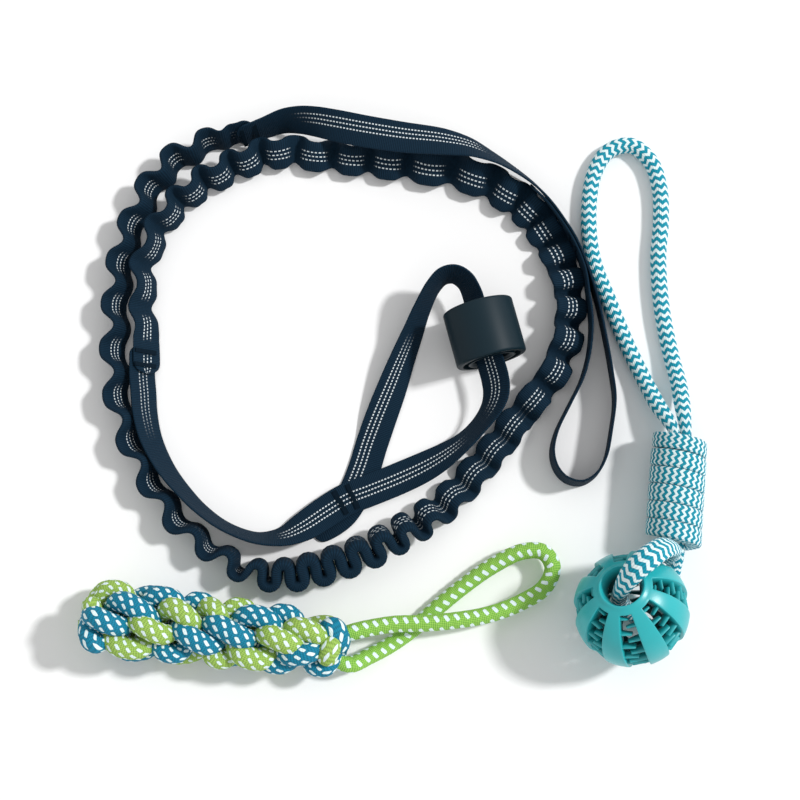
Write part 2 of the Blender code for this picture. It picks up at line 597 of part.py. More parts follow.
def knotted_rope(name, route, start_side, entry):
    """Run a rope loop whose two legs meet the other loop's legs half way through the knot."""
    top, bottom, along, side, _ = wrap_frame()
    middle = (top + bottom) / 2
    away = along if entry == "bottom" else -along
    apart = side * (ROPE_DIAMETER / 2 * KNOT_LEG_SHARE + SEAT_GAP / 2)
    depth = (bottom - top).length / 2
    legs = []
    for lean in (start_side, -start_side):
        inner = middle + apart * lean
        legs.append([(*(inner + away * reach), KNOT_LEG_SHARE)
                     for reach in (SEAT_GAP / 2, depth / 2, depth)])
    rows = legs[0] + [tuple(row) for row in in_metres(route, 3)] + legs[1][::-1]
    return rope(name, even_samples(smooth_curve(rows), ROPE_STEP), "teal_white_rope")


def tug_surface(reach, length, angle):
    """Radius of the braided tug: slanted plaits in columns that twist slowly round its taper.

    Each column's plaits lie a fixed share of the pitch ahead of the column before it.
    """
    spacing = TURN / TUG_COLUMNS
    outer = (TUG_DIAMETER + (TUG_RIGHT_DIAMETER - TUG_DIAMETER) * reach / length) / 2
    core = outer - PLAIT_RISE
    best = 0
    for column in range(-1, TUG_COLUMNS + 1):
        middle = TUG_FIRST_COLUMN + TUG_TWIST * reach / length + column * spacing
        around = (angle - middle + math.pi) % TURN - math.pi
        shift = PLAIT_START + PLAIT_STEP_SHARE * PLAIT_PITCH * column
        ahead = (reach - shift + PLAIT_PITCH / 2) % PLAIT_PITCH - PLAIT_PITCH / 2
        across = around * outer
        long_way = ahead * math.cos(PLAIT_SLANT) - across * math.sin(PLAIT_SLANT)
        short_way = ahead * math.sin(PLAIT_SLANT) + across * math.cos(PLAIT_SLANT)
        fall = (long_way / PLAIT_HALF_LENGTH) ** 2 + (short_way / PLAIT_HALF_WIDTH) ** 2
        best = max(best, 1 - fall)
    nearest = min(reach, length - reach)
    taper = 1 if nearest >= TUG_END_ROUND else math.sqrt(1 - (1 - nearest / TUG_END_ROUND) ** 2)
    return (core + PLAIT_RISE * math.sqrt(best)) * taper


def braided_tug():
    """Loft the tug's knotted body, swollen where each plait comes over."""
    left, right = Vector((*TUG_LEFT, TUG_DIAMETER / 2)), Vector((*TUG_RIGHT, TUG_RIGHT_DIAMETER / 2))
    along = (right - left).normalized()
    length = (right - left).length
    side = Vector((0, 0, 1)).cross(along).normalized()
    up = along.cross(side)
    rings = []
    for ring in range(TUG_RINGS):
        eased = (1 - math.cos(math.pi * (ring + 1) / (TUG_RINGS + 1))) / 2
        even = (ring + TUG_FIRST_RING_SHARE) / (TUG_RINGS - 1 + 2 * TUG_FIRST_RING_SHARE)
        share = TUG_EASE_SHARE * eased + (1 - TUG_EASE_SHARE) * even
        corners = []
        for step in range(TUG_SIDES):
            angle = TURN * step / TUG_SIDES
            radius = tug_surface(share * length, length, angle)
            outward = side * math.cos(angle) + up * math.sin(angle)
            corners.append(left + along * share * length + outward * radius)
        rings.append(corners)
    return loft("braided_tug", rings, "green_teal_rope", TUG_SMOOTH_UNDER)


def main():
    clear_scene()
    anchor, strap = leash_webbing()
    tacks(anchor, strap)
    bungee_sleeve()
    stopper()
    knot_wrap()
    knotted_rope("rope_hand_loop", HAND_LOOP_ROUTE, -1, "top")
    knotted_rope("rope_ball_loop", BALL_LOOP_ROUTE, 1, "bottom")
    treat_ball()
    braided_tug()
    loop = even_samples(smooth_curve(in_metres(TUG_LOOP_ROUTE, 3)), ROPE_STEP)
    rope("tug_hand_loop", loop, "green_rope")
    for piece in bpy.data.objects:
        piece.location += Vector((*ORIGIN_SHIFT, 0))


main()
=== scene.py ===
"""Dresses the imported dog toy: bungee leash, knotted rope with its treat ball, and braided tug."""
import json
import math

import bmesh
import bpy
import numpy as np
from mathutils import Matrix, Vector


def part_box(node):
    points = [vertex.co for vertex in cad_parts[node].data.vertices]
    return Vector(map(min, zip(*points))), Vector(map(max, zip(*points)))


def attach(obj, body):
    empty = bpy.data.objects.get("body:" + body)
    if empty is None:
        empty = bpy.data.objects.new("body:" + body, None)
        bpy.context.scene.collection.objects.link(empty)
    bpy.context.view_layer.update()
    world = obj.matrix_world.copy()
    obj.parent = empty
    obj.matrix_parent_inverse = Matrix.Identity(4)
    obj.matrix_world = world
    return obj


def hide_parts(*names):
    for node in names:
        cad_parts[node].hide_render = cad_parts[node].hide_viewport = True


bl_info = {
    "name": "Spring Pole Dog Toy",
    "version": (1, 0, 0),
    "blender": (4, 5, 0),
    "location": "3D View > Sidebar > Dog Toy",
    "description": "Dresses a bungee leash, a ball on a knotted rope and a braided tug",
    "category": "Add Mesh",
}

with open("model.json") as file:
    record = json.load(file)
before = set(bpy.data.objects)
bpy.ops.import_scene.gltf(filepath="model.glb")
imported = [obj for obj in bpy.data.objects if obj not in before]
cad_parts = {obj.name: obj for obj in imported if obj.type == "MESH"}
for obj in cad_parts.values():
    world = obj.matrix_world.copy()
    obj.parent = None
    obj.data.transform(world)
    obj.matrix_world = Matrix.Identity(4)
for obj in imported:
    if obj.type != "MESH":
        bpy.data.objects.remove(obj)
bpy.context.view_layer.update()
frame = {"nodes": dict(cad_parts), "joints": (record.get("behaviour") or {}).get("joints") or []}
JOINTS = {joint["name"]: joint for joint in frame["joints"]}

MM = 0.001
TURN = 2 * math.pi
MERGE = 0.000002
TINY = 1e-12
ORIGIN_SHIFT = (-0.0025, -0.0045)

# The camera of the photo, the lamp and the floor
SENSOR = 36.0
FOCAL_PIXELS = 1600
FRAME_PIXELS = 800
ELEVATION = 80
TARGET = (0.0020, -0.0065, 0)
LAMP_FROM = (0.95, 0.28, 1.0)
LAMP_SPREAD = 6
FLOOR_HALF = 4.0

# Stations are the cross-sections a swept piece is made of
STRAP_STEP = 0.0014
STRAP_COLUMNS = 28
STRAP_SQUARENESS = 0.32
SLEEVE_STATIONS_PER_WAVE = 20
SLEEVE_COLUMNS = 30
SLEEVE_SQUARENESS = 0.55
ROPE_STEP = 0.00062
ROPE_COLUMNS = 48

# The webbing and the sleeve over its elastic
WEB_THICKNESS = 0.0016
END_ROUND_SHARE = 0.35
END_FLAT_SHARE = 0.98
SEAT_GAP = 0.0003
SLEEVE_WIDTH = 0.021
SLEEVE_THICKNESS = 0.0022
SLEEVE_SWELL_SHARE = 0.42
SLEEVE_PACKED_FROM = 0.0045
SLEEVE_PACKED_SHARE = 1.10
SLEEVE_FLAT_END = 0.020
SLEEVE_SWELL_LENGTH = 0.012
MEANDER_LEAN_SHARE = 0.8
MEANDER_EASE_SHARE = 2.5
REST_STEPS = 12
LOBE_SHARE = 0.18
EDGE_DRAW = 0.0034

# Distance along the sleeve, and whether its waves swell inward (1) or outward (-1) there
LOBES = [(0, 1), (0.50, 0.8), (0.62, 0), (0.72, 0), (0.80, -1), (1.20, -1)]

# Distance along the sleeve, and how much of each wave hides its floats there
FLOAT_GAPS = [(0, 1), (0.46, 1), (0.54, 0.25), (0.72, 0.25), (0.80, 1), (1.20, 1)]

# Distance along the sleeve, and how far its outer edge spreads towards the toy strap there
OUTER_SPREAD = [(0, 0), (0.21, 0), (0.25, 0.0033), (0.41, 0.0033), (0.45, 0), (1.20, 0)]

# Share of EDGE_DRAW by which each edge is drawn in, and how much a full lobe changes it
INNER_DRAW_SHARES = (0.7, 0.3)
OUTER_DRAW_SHARES = (0.75, -0.25)

# How broad a wave is where its floats start to show, and where they all show
FLOATS_SHOW_SHARES = (0.35, 0.60)

# Painted shine: the white floats show bright where the webbing's face looks upward and fade where it stands
# steeper than these upward parts
STRAP_FADE = (0.56, 0.74)
SLEEVE_FADE = (0.26, 0.46)

# Distance along each strap, and how far off its centre the white rows run there
ANCHOR_ROWS = [(0, 0), (0.200, 0), (0.400, 0), (0.560, -0.0033), (0.900, -0.0033)]
TOY_ROWS = [(0, 0.0024), (0.300, 0.0024), (1.000, 0)]

# Door stopper
STOPPER_RADIUS = 0.022
STOPPER_HALF_LENGTH = 0.0175
STOPPER_BORE_RADIUS = 0.012
STOPPER_RIM_WIDTH = 0.0035
STOPPER_COLLAR_WALL = 0.0028
STOPPER_RECESS_DEPTH = 0.0030
STOPPER_EDGE_RADIUS = 0.0016
STOPPER_EDGE_STEPS = 6
STOPPER_SIDES = 96
STOPPER_SHARP = 40

# Braid patterns: the zigzag's steepness and ridges, and each fleck's half length, half width
# and slant in millimetres and degrees
ZIGZAG_SLOPE = 0.85
RIDGE_HEIGHT = 0.00026
ROPE_FLECK = (2.3, 1.2, -65)
STRAND_FLECK = (1.65, 0.85, -50)
STRAND_FLECK_ROWS = 10
STRAND_FLECK_RISE = 0.0002
# Share of a tug strand's colour painted into the hollows between its yarns as painted shade
STRAND_SHADE = 0.55
ROPE_FLECK_ROWS = 4
ROPE_FLECK_RISE = 0.00016

# Widths of the yarns that show in each weave, in millimetres
WEBBING_YARN = 0.9
ZIGZAG_YARN = 1.3
FLECKED_YARN = 2.2

# The barrel knot
KNOT_LEG_SHARE = 0.68
WRAP_TURNS = 5.5
WRAP_PITCH = 0.0107
WRAP_OUTER_DIAMETER = 0.0348
WRAP_POINTS_PER_TURN = 24
WRAP_TOP = (0.1758, -0.0259, 0.0176)
WRAP_BOTTOM = (0.1692, -0.0945, 0.0178)
WRAP_THIN_SHARE = 0.92
WRAP_WIDE_SHARE = 1.07
WRAP_TUCK = 0.0075
WRAP_START_SHARE = 0.88
WRAP_TOOTH_FINER = 1.35
WRAP_BAND_FINER = 1.6
BALL_BAND_FINER = 1.2
SQUARE_POWER = 6

# Distance along the ball loop, and how far the rope is pressed flat there
BALL_FLATTENING = [(0, 0), (0.045, 0), (0.075, 1), (0.120, 1), (0.150, 0.3), (0.180, 0), (1, 0)]
BALL_THIN_SHARE = 0.28
BALL_WIDE_SHARE = 0.24

# Treat ball
BALL_SLOT_START = math.radians(31)
BALL_CROWN_SHARES = (0, 0.08, 0.26, 0.42, 0.70)
BALL_LIP_HEIGHTS = (0.0003, 0.0005, 0.0004, 0, 0)
BALL_POLAR_STEPS = 44
BALL_CELLS_PER_SLOT = 8
TEETH_PER_SIDE = 7
TOOTH_RADIUS = 0.0014
TOOTH_SINK = 0.0012
TOOTH_REACH_SHARE = 0.76
TOOTH_FAR_SHARE = 0.98
TOOTH_TIP_SHARE = 0.6
TOOTH_SHARP = 60
BALL_SHARP = 50
LIP_ROUND = 0.0012
# Share of the ball's colour painted on its inside as painted shade
PAINTED_HOLLOW_SHADE = 0.14

# Braided tug: a column's plaits lie a share of the pitch ahead of the column before it
TUG_DIAMETER = 0.050
TUG_RIGHT_DIAMETER = 0.041
TUG_LEFT = (-0.1870, -0.1368)
TUG_RIGHT = (-0.0250, -0.1550)
TUG_FIRST_COLUMN = math.radians(16)
TUG_TWIST = math.radians(35)
TUG_END_LENGTH = 0.009
TUG_END_STEPS = 12
PLAIT_START = 0.0225
PLAIT_STEP_SHARE = 3 / 8
PLAIT_SLANT = math.radians(27)
PLAIT_HALF_LENGTH = 0.0158
PLAIT_DIP = 0.0120
PLAIT_DIP_POWER = 2.8
PLAIT_TAPER_SHARE = 0.36
PLAIT_ROWS = 15
PLAIT_STATIONS = 36
PLAIT_COLUMNS = 24
PLAIT_NUMBERS = range(-3, 7)
PLAIT_LEAST_ROWS = 6
PLAIT_SHIFT_SHARE = 0.37
PLAIT_SWING_RADIUS = 0.018
BULGE_REACH = 0.0020
UNDERSIDE_BELOW = -0.25

# The plaits seen from above: place along the tug in millimetres, angle from its far side over
# the top, slant against its axis, half length, thickness share, and 0 for green or 1 for teal
TUG_BULGES = [
    (21, 12, 5, 9.7, 0.85, 0), (9, 60, 53, 10.0, 0.85, 0), (33, 59, 22, 13.3, 1, 1),
    (17, 94, 17, 13.8, 1, 1), (11, 140, 30, 9.0, 1, 1), (50, 14, 10, 10.9, 0.95, 1),
    (46, 102, 22, 11.4, 1, 0), (33, 150, 10, 12.8, 1, 0), (61, 58, 31, 10.9, 1, 0),
    (71, 8, 7, 7.6, 0.9, 1), (80, 37, 47, 10.0, 0.9, 0), (73, 114, 25, 13.3, 1, 1),
    (58, 158, 9, 9.0, 0.9, 1), (91, 87, 25, 13.8, 1.05, 1), (95, 6, 1, 8.1, 0.9, 0),
    (106, 150, 19, 12.1, 1.05, 0), (87, 172, 15, 8.0, 0.9, 0), (107, 42, 9, 12.1, 1, 1),
    (122, 94, 20, 11.9, 1.05, 0), (122, 8, 5, 9.0, 0.95, 1), (121, 172, -13, 10.0, 0.95, 1),
    (136, 62, 17, 10.9, 1, 0), (134, 125, -23, 10.9, 1, 1), (151, 110, 100, 9.0, 0.95, 0),
    (154, 49, 45, 10.9, 1.1, 1), (147, 172, -11, 8.5, 0.9, 1),
]

# Bungee sleeve route: x, y, tilt of the band's face from outward to up, wave height, wave
# pitch, and how far the tilt sways over one wave
SLEEVE_ROUTE = [
    (-153.0, 13, 138, 0.0, 22, 0), (-153.2, 24, 138, 0.0, 22, 0), (-153.8, 36, 139, 0.2, 24, 0),
    (-155.0, 50, 141, 1.4, 27, 5), (-155.8, 64, 144, 2.2, 27, 7), (-155.6, 78, 147, 2.6, 27, 8),
    (-152.4, 92.5, 148, 2.7, 26, 8), (-146, 107, 147, 2.9, 23, 8), (-136.8, 120, 145, 3.3, 21, 9),
    (-126, 130.5, 143, 3.6, 20, 8), (-113.0, 139.5, 139, 3.8, 20, 8),
    (-97, 148, 133, 3.8, 20, 8), (-83, 154, 126, 3.8, 20, 8), (-68.5, 156.5, 120, 3.8, 22, 8),
    (-56, 155.5, 115, 3.8, 24, 8), (-40, 153.5, 112, 3.8, 24, 8), (-17, 151, 112, 3.8, 23, 8),
    (4, 148.3, 113, 3.9, 25, 8), (20.5, 145.8, 114, 4.0, 29, 8), (35, 143.3, 114, 4.0, 29, 8),
    (50.5, 139, 114, 3.9, 26, 8), (64.4, 132.4, 113, 3.6, 23, 6), (76.5, 124.8, 110, 3.3, 18, 4),
    (87.2, 114.8, 104, 3.1, 16, 4), (97.0, 100.2, 92, 3.0, 17, 4), (104.1, 83.8, 76, 3.1, 17, 4),
    (109.0, 64.6, 60, 3.4, 18, 4), (108.8, 45.5, 54, 3.6, 20, 5), (104.9, 27.4, 55, 3.9, 22, 7),
    (98.0, 11.3, 62, 4.0, 22, 8), (88.2, -2.0, 72, 3.6, 22, 8), (77.3, -15.2, 82, 3.2, 20, 7),
    (67.1, -28.6, 88, 3.0, 19, 7), (56.4, -41.4, 92, 3.0, 19, 7), (43.8, -55.8, 98, 3.2, 19.5, 7),
    (31, -68.5, 108, 3.6, 19, 6), (16.5, -79, 124, 4.8, 17, 5), (2.5, -87.5, 140, 5.8, 16, 4),
    (-15, -97, 153, 6.6, 16, 3), (-31, -103.5, 160, 6.8, 15.8, 2), (-46, -108, 162, 6.8, 15.8, 2),
    (-61, -111, 163, 6.6, 15.8, 2), (-75.5, -111.5, 162, 5.9, 17, 3), (-90.5, -107.5, 160, 4.8, 20, 5),
    (-103, -99.5, 154, 3.9, 23, 7), (-114.5, -92, 151, 3.6, 25, 8), (-124.5, -84, 149, 3.5, 26, 9),
    (-140, -66, 148, 3.4, 28, 9), (-154.8, -40.5, 148, 3.3, 29, 9), (-165.5, -16, 148, 3.3, 30, 9),
    (-171, 10.5, 148, 3.3, 30, 9), (-172.2, 34, 147, 3.2, 29, 9), (-172.2, 53.5, 147, 3.0, 28, 9),
    (-171.2, 74, 146, 2.8, 27, 8), (-168.2, 94, 146, 2.8, 26, 8), (-159.2, 119, 146, 3.2, 26, 8),
    (-149, 138.5, 147, 3.6, 24, 8), (-134, 153.5, 150, 3.7, 24, 8), (-122, 160.2, 155, 3.2, 24, 6),
    (-110, 165, 160, 2.0, 20, 3), (-99, 168.8, 163, 0.1, 12, 0), (-88.5, 172.6, 163, 0.0, 12, 0),
]

# Anchor webbing route: x, y, z and roll, from the sleeve, round the door loop and back
ANCHOR_ROUTE = [
    (-156.0, 31, 8.5, -48), (-155.9, 22, 8.5, -48), (-155.7, 12, 8.5, -48), (-154.7, 2, 8.2, -48),
    (-153.2, -12, 8.4, -50), (-149.0, -28, 8.9, -55), (-139, -47, 9.5, -62),
    (-125, -64.0, 9.8, -68), (-116, -72.6, 9.8, -70), (-103.6, -81.4, 9.8, -71), (-89.5, -87.5, 9.7, -69),
    (-79.6, -89.4, 9.4, -64), (-66, -87.8, 8.6, -48), (-54.5, -82, 6.6, -22), (-41, -72.5, 3.4, -3),
    (-28, -64.5, 2.8, 0), (-14, -59, 2.8, 0), (4.5, -51.5, 3.2, -3), (20, -44.7, 6.2, -18),
    (32.5, -38, 9.6, -36), (44, -29.8, 13.2, -52), (54, -19.5, 16.6, -56), (61.3, -8.5, 19.8, -47),
    (63.5, -0.2, 20.7, -40), (62.8, 7.8, 20.8, -38), (59.9, 18.7, 20.8, -40), (55.5, 35.7, 20.8, -47),
    (51.1, 52.7, 20.8, -55), (49.3, 60.3, 21.3, -59), (45.0, 68.7, 22.8, -65), (38.4, 72.7, 24, -69),
    (31.2, 71.6, 23.0, -70), (25.0, 65.6, 20.5, -69), (17.9, 52.4, 15.0, -63), (11.8, 37.2, 9.5, -53),
    (5.6, 21.3, 7.4, -42), (-0.8, 3.8, 5.2, -26), (-7.2, -13.2, 3.0, -12), (-13.0, -30, 1.0, 0),
    (-17.5, -45, 0.8, 0), (-23.5, -60, 0.8, 0), (-31.3, -72.6, 0.8, 0), (-42.0, -80.2, 0.8, 0),
    (-50.5, -83, 0.8, 0),
]

# Toy strap route: x, y, z and roll, from the sleeve to the toy loop and back to the strap
TOY_ROUTE = [
    (-99.6, 165.9, 9.6, 73), (-90.5, 169.2, 9.6, 73), (-81.5, 172.8, 9.6, 70), (-71, 175.8, 11.5, 63),
    (-59.5, 175.2, 16.5, 52), (-49, 172.5, 21.5, 42), (-37.5, 168.8, 25.5, 29), (-20, 164.5, 27.5, 13),
    (5.8, 160.2, 27.5, 0), (31.7, 157.6, 26.5, -18), (48.2, 155.3, 23.5, -38), (60, 151.7, 19.5, -53),
    (70.2, 147.2, 16.0, -63), (88.2, 135.4, 12.5, -72), (98.8, 124.5, 11.4, -77), (107.2, 112.2, 10.8, -81),
    (115.6, 96.8, 10.4, -85), (121.7, 79.5, 10.3, -88), (127.2, 60.5, 10.3, -88), (132, 36, 10.3, -88),
    (135.5, 13, 10.3, -88), (137, -4, 10.3, -88), (134.5, -22.5, 10.3, -88), (130.5, -40.5, 10.3, -88),
    (124.5, -50.5, 10.3, -88), (116, -55.5, 10.3, -88), (106.5, -53.5, 10.3, -88), (100.5, -47, 10.3, -88),
    (98, -37, 10.3, -88), (100.5, -24.5, 10.3, -88), (109, -7, 10.3, -88), (117.2, 9.5, 10.3, -88),
    (122.0, 27, 10.3, -89), (123.6, 45.5, 10.3, -90), (122.2, 62, 10.3, -91),
]
TOY_FOLD_FROM = 13
TOY_FOLD_TO = 17

# Rope routes: x, y, z and thickness against the rope's own
HAND_LOOP_ROUTE = [
    (178.9, -17, 16.3, 0.84), (178.4, -7, 13.0, 1), (177.2, 8, 8.5, 1), (174.0, 24, 5.6, 1),
    (169.0, 54.5, 5.1, 1), (167.6, 87, 5.1, 1), (170.0, 113, 5.1, 1), (169.6, 134.5, 5.1, 1),
    (164.2, 152, 5.1, 1), (152.2, 162.3, 5.1, 1), (138, 158.6, 5.1, 1), (128.5, 144, 5.1, 1),
    (124.2, 116.5, 5.1, 1), (126.5, 87, 5.1, 1), (135.5, 61, 5.1, 1), (146.5, 32, 5.1, 1),
    (157.0, 8, 7.0, 1), (163.6, -7, 11.0, 1), (168.9, -17, 15.5, 0.84),
]
BALL_LOOP_ROUTE = [
    (165.2, -98.5, 18.6, 0.76), (165.4, -101.8, 23, 0.86), (165.5, -101.0, 29.5, 0.95),
    (165.2, -99.2, 37, 1), (164.0, -98.4, 45, 1.08), (161.0, -98.2, 55, 1.15), (156.0, -99.6, 64, 1.2),
    (150.2, -102.8, 70.3, 1.2), (144.5, -107.0, 73.6, 1.2), (138.8, -112.0, 72.8, 1.2),
    (134.6, -117.0, 68.5, 1.15), (132.2, -121.5, 61.5, 1.1), (131.8, -125.5, 51.5, 1.05),
    (134.0, -129.0, 40.0, 1), (138.5, -132.6, 29.0, 0.95), (144.2, -136.3, 20.0, 0.90),
    (150.4, -140.2, 12.8, 0.94), (157.4, -144.0, 8.2, 0.98), (164.0, -145.4, 5.4, 1),
    (170.0, -142.5, 5.1, 1), (172.0, -135, 5.1, 1), (171.2, -125, 5.1, 1), (170.0, -115, 6.0, 1),
    (171.0, -106.5, 9.8, 0.95), (172.8, -100.0, 14.8, 0.78),
]
TUG_LOOP_ROUTE = [
    (-25.2, -165.2, 15.2, 1), (-14.5, -160.5, 10.0, 1), (-1.5, -153.5, 5.8, 1), (13.5, -143.0, 5.1, 1),
    (29, -129.5, 5.1, 1), (44, -117.5, 5.8, 1), (60, -106.5, 8.0, 1), (79, -97.5, 11.0, 1),
    (91.5, -98.0, 12.0, 1), (97, -107.0, 12.0, 1), (92, -119.0, 11.0, 1), (78, -128.0, 10.0, 1),
    (58, -135.5, 12.0, 1), (35, -139.5, 15.8, 1), (17, -141.0, 17.6, 1), (2, -141.4, 18.5, 1),
    (-11.5, -143.4, 19.9, 1), (-22.9, -146.0, 21.5, 1),
]

# The green loop's legs run on inside the tug's end to these points
TUG_LOOP_HIDDEN = [(-36.0, -162.0, 18.0, 0.9), (-36.0, -150.0, 21.5, 0.9)]

CLOTH_UV = "Millimetres"
SHINE = "float_shine"


def linear(code):
    """Turn an sRGB hex code into linear colour with alpha."""
    parts = [int(code[place:place + 2], 16) / 255 for place in (1, 3, 5)]
    return tuple(p / 12.92 if p <= 0.04045 else ((p + 0.055) / 1.055) ** 2.4 for p in parts) + (1.0,)


def tint(label, code):
    """A colour that the sidebar can change."""
    return bpy.props.FloatVectorProperty(name=label, description=f"Colour of the {label.lower()}",
                                         subtype="COLOR", size=4, min=0, max=1, default=linear(code))


def size(label, words, metres):
    """A length that the sidebar can change."""
    return bpy.props.FloatProperty(name=label, description=words, unit="LENGTH", default=metres)


class LeashSettings(bpy.types.PropertyGroup):
    """Sizes and colours of the webbing and the bungee."""
    width: size("Webbing width", "Width of the flat webbing", 0.020)
    rib: size("Rib pitch", "Spacing of the webbing's cross ribs", 0.0011)
    row: size("Row spacing", "Spacing of the rows of white floats", 0.0028)
    dash: size("Dash pitch", "Spacing of the white floats along a row", 0.0021)
    cloth: tint("Webbing", "#031725")
    # This colour is painted on the crests of the ribs and yarns as painted highlight, and cloth in their
    # hollows as painted shade
    weave_highlight: tint("Webbing ribs", "#0a2a3e")
    white: tint("Floats", "#dfe8ec")
    thread: tint("Tack thread", "#02111b")
    rubber: tint("Stopper", "#06202a")


class RopeSettings(bpy.types.PropertyGroup):
    """Sizes and colours of the three ropes."""
    thickness: size("Rope thickness", "Diameter of the two thinner ropes", 0.010)
    zigzag: size("Zigzag pitch", "Spacing of the zigzags along the rope", 0.0051)
    teeth: bpy.props.IntProperty(name="Zigzag teeth", description="Teeth round the rope", default=6)
    fleck: size("Fleck pitch", "Spacing of the white flecks along the green rope", 0.0061)
    teal: tint("Teal yarn", "#0a9cb4")
    # Teal painted into the hollows between yarns as painted shade
    teal_painted_shade: tint("Shaded teal yarn", "#05849c")
    white: tint("White yarn", "#e8fafb")
    green: tint("Green yarn", "#a2d65e")
    # Green painted into the hollows between yarns as painted shade
    green_painted_shade: tint("Shaded green yarn", "#579a34")


class BallSettings(bpy.types.PropertyGroup):
    """Sizes and colour of the treat ball."""
    diameter: size("Ball diameter", "Diameter over the ribs", 0.068)
    wall: size("Wall", "Thickness of the shell", 0.0080)
    hole: size("Hole", "Diameter of the holes at the poles", 0.025)
    slots: bpy.props.IntProperty(name="Slots", description="Slots round the ball", default=8)
    rubber: tint("Ball rubber", "#24b5bb")


class TugSettings(bpy.types.PropertyGroup):
    """Sizes and colours of the braided tug."""
    strand: size("Strand thickness", "Diameter of the plaited ropes", 0.0130)
    pitch: size("Plait pitch", "Spacing of the plaits along one side", 0.0284)
    fleck: size("Fleck pitch", "Spacing of the white flecks along a strand", 0.0053)
    columns: bpy.props.IntProperty(name="Plait columns", description="Plaits round the tug", default=8)
    teal: tint("Teal strands", "#0585a6")
    green: tint("Green strands", "#a4cb5e")


class StageSettings(bpy.types.PropertyGroup):
    """The floor, the lamps and the camera."""
    floor: tint("Floor", "#fcfcfc")
    sun: bpy.props.FloatProperty(name="Lamp", description="Strength of the lamp on the right", default=2.3)
    sky: bpy.props.FloatProperty(name="Sky", description="Strength of the light all round", default=0.60)
    distance: size("Camera distance", "Distance from the camera to the set", 1.0)


def in_metres(route, lengths=3, shifted=True):
    """Turn the first columns of a route table from millimetres to metres in the row frame."""
    table = np.array(route, float)
    table[:, :lengths] *= MM
    if shifted:
        table[:, :2] += ORIGIN_SHIFT
    return table


def smooth_curve(points, per_span=24):
    """Read a dense smooth curve through the rows of a table, all columns alike."""
    rows = np.array(points, float)
    rows = np.vstack([2 * rows[0] - rows[1], rows, 2 * rows[-1] - rows[-2]])
    steps = np.linspace(0, 1, per_span, endpoint=False)[:, None]
    out = []
    for before, start, end, after in zip(rows, rows[1:], rows[2:], rows[3:]):
        near = math.sqrt(np.linalg.norm(start[:3] - before[:3]))
        span = math.sqrt(np.linalg.norm(end[:3] - start[:3]))
        far = math.sqrt(np.linalg.norm(after[:3] - end[:3]))
        leave = (start - before) / near - (end - before) / (near + span) + (end - start) / span
        arrive = (end - start) / span - (after - start) / (span + far) + (after - end) / far
        leave, arrive = leave * span, arrive * span
        cubic = 2 * start - 2 * end + leave + arrive
        square = 3 * end - 3 * start - 2 * leave - arrive
        out.append(((cubic * steps + square) * steps + leave) * steps + start)
    out.append(rows[-2][None])
    return np.vstack(out)


def run_lengths(rows):
    """Give the distance along a curve at each of its rows."""
    hops = np.linalg.norm(np.diff(rows[:, :3], axis=0), axis=1)
    return np.concatenate([[0], np.cumsum(hops)])


def read_at(rows, along, wanted):
    """Read every column of a dense curve at the wanted distances."""
    return np.array([np.interp(wanted, along, rows[:, c]) for c in range(rows.shape[1])]).T


def even_samples(rows, step):
    along = run_lengths(rows)
    count = max(2, int(round(along[-1] / step)) + 1)
    return read_at(rows, along, np.linspace(0, along[-1], count))


def unit(rows):
    return rows / np.linalg.norm(rows, axis=-1)[..., None]


def square_to(ways, path):
    """Turn the directions that stand along a path square to it."""
    forward = unit(np.gradient(path, axis=0))
    return unit(ways - forward * np.sum(ways * forward, axis=1)[:, None])


def in_row(place):
    """Move a place in metres to the row frame."""
    return Vector(place) + Vector((*ORIGIN_SHIFT, 0))


def frames_along(points, rolls):
    """Give each point's width and face directions on a strip rolled about its path."""
    forward = unit(np.gradient(points, axis=0))
    left = unit(np.cross((0, 0, 1), forward))
    face = np.cross(forward, left)
    cosine, sine = np.cos(rolls)[:, None], np.sin(rolls)[:, None]
    return cosine * left + sine * face, cosine * face - sine * left


def carried_frames(points):
    """Carry one cross direction along a path without letting it twist."""
    forward = unit(np.gradient(points, axis=0))
    side = np.cross(forward[0], (0, 0, 1))
    sides = []
    for ahead in forward:
        side = side - ahead * np.dot(side, ahead)
        side = side / np.linalg.norm(side)
        sides.append(side)
    sides = np.array(sides)
    return sides, np.cross(sides, forward)


def round_spokes(points, columns):
    """Give the angles round a rope and, at each of its points, the directions they point in."""
    side, high = carried_frames(points)
    angle = np.linspace(0, TURN, columns + 1)
    return angle, side[:, None] * np.cos(angle)[:, None] + high[:, None] * np.sin(angle)[:, None]


def flat_section(columns, squareness):
    """A closed outline from -1 to 1 both ways: 1 is round, and less is flatter with square edges."""
    angle = np.linspace(0, TURN, columns + 1)
    wide = np.sign(np.cos(angle)) * np.abs(np.cos(angle)) ** squareness
    thick = np.sign(np.sin(angle)) * np.abs(np.sin(angle)) ** squareness
    return wide, thick


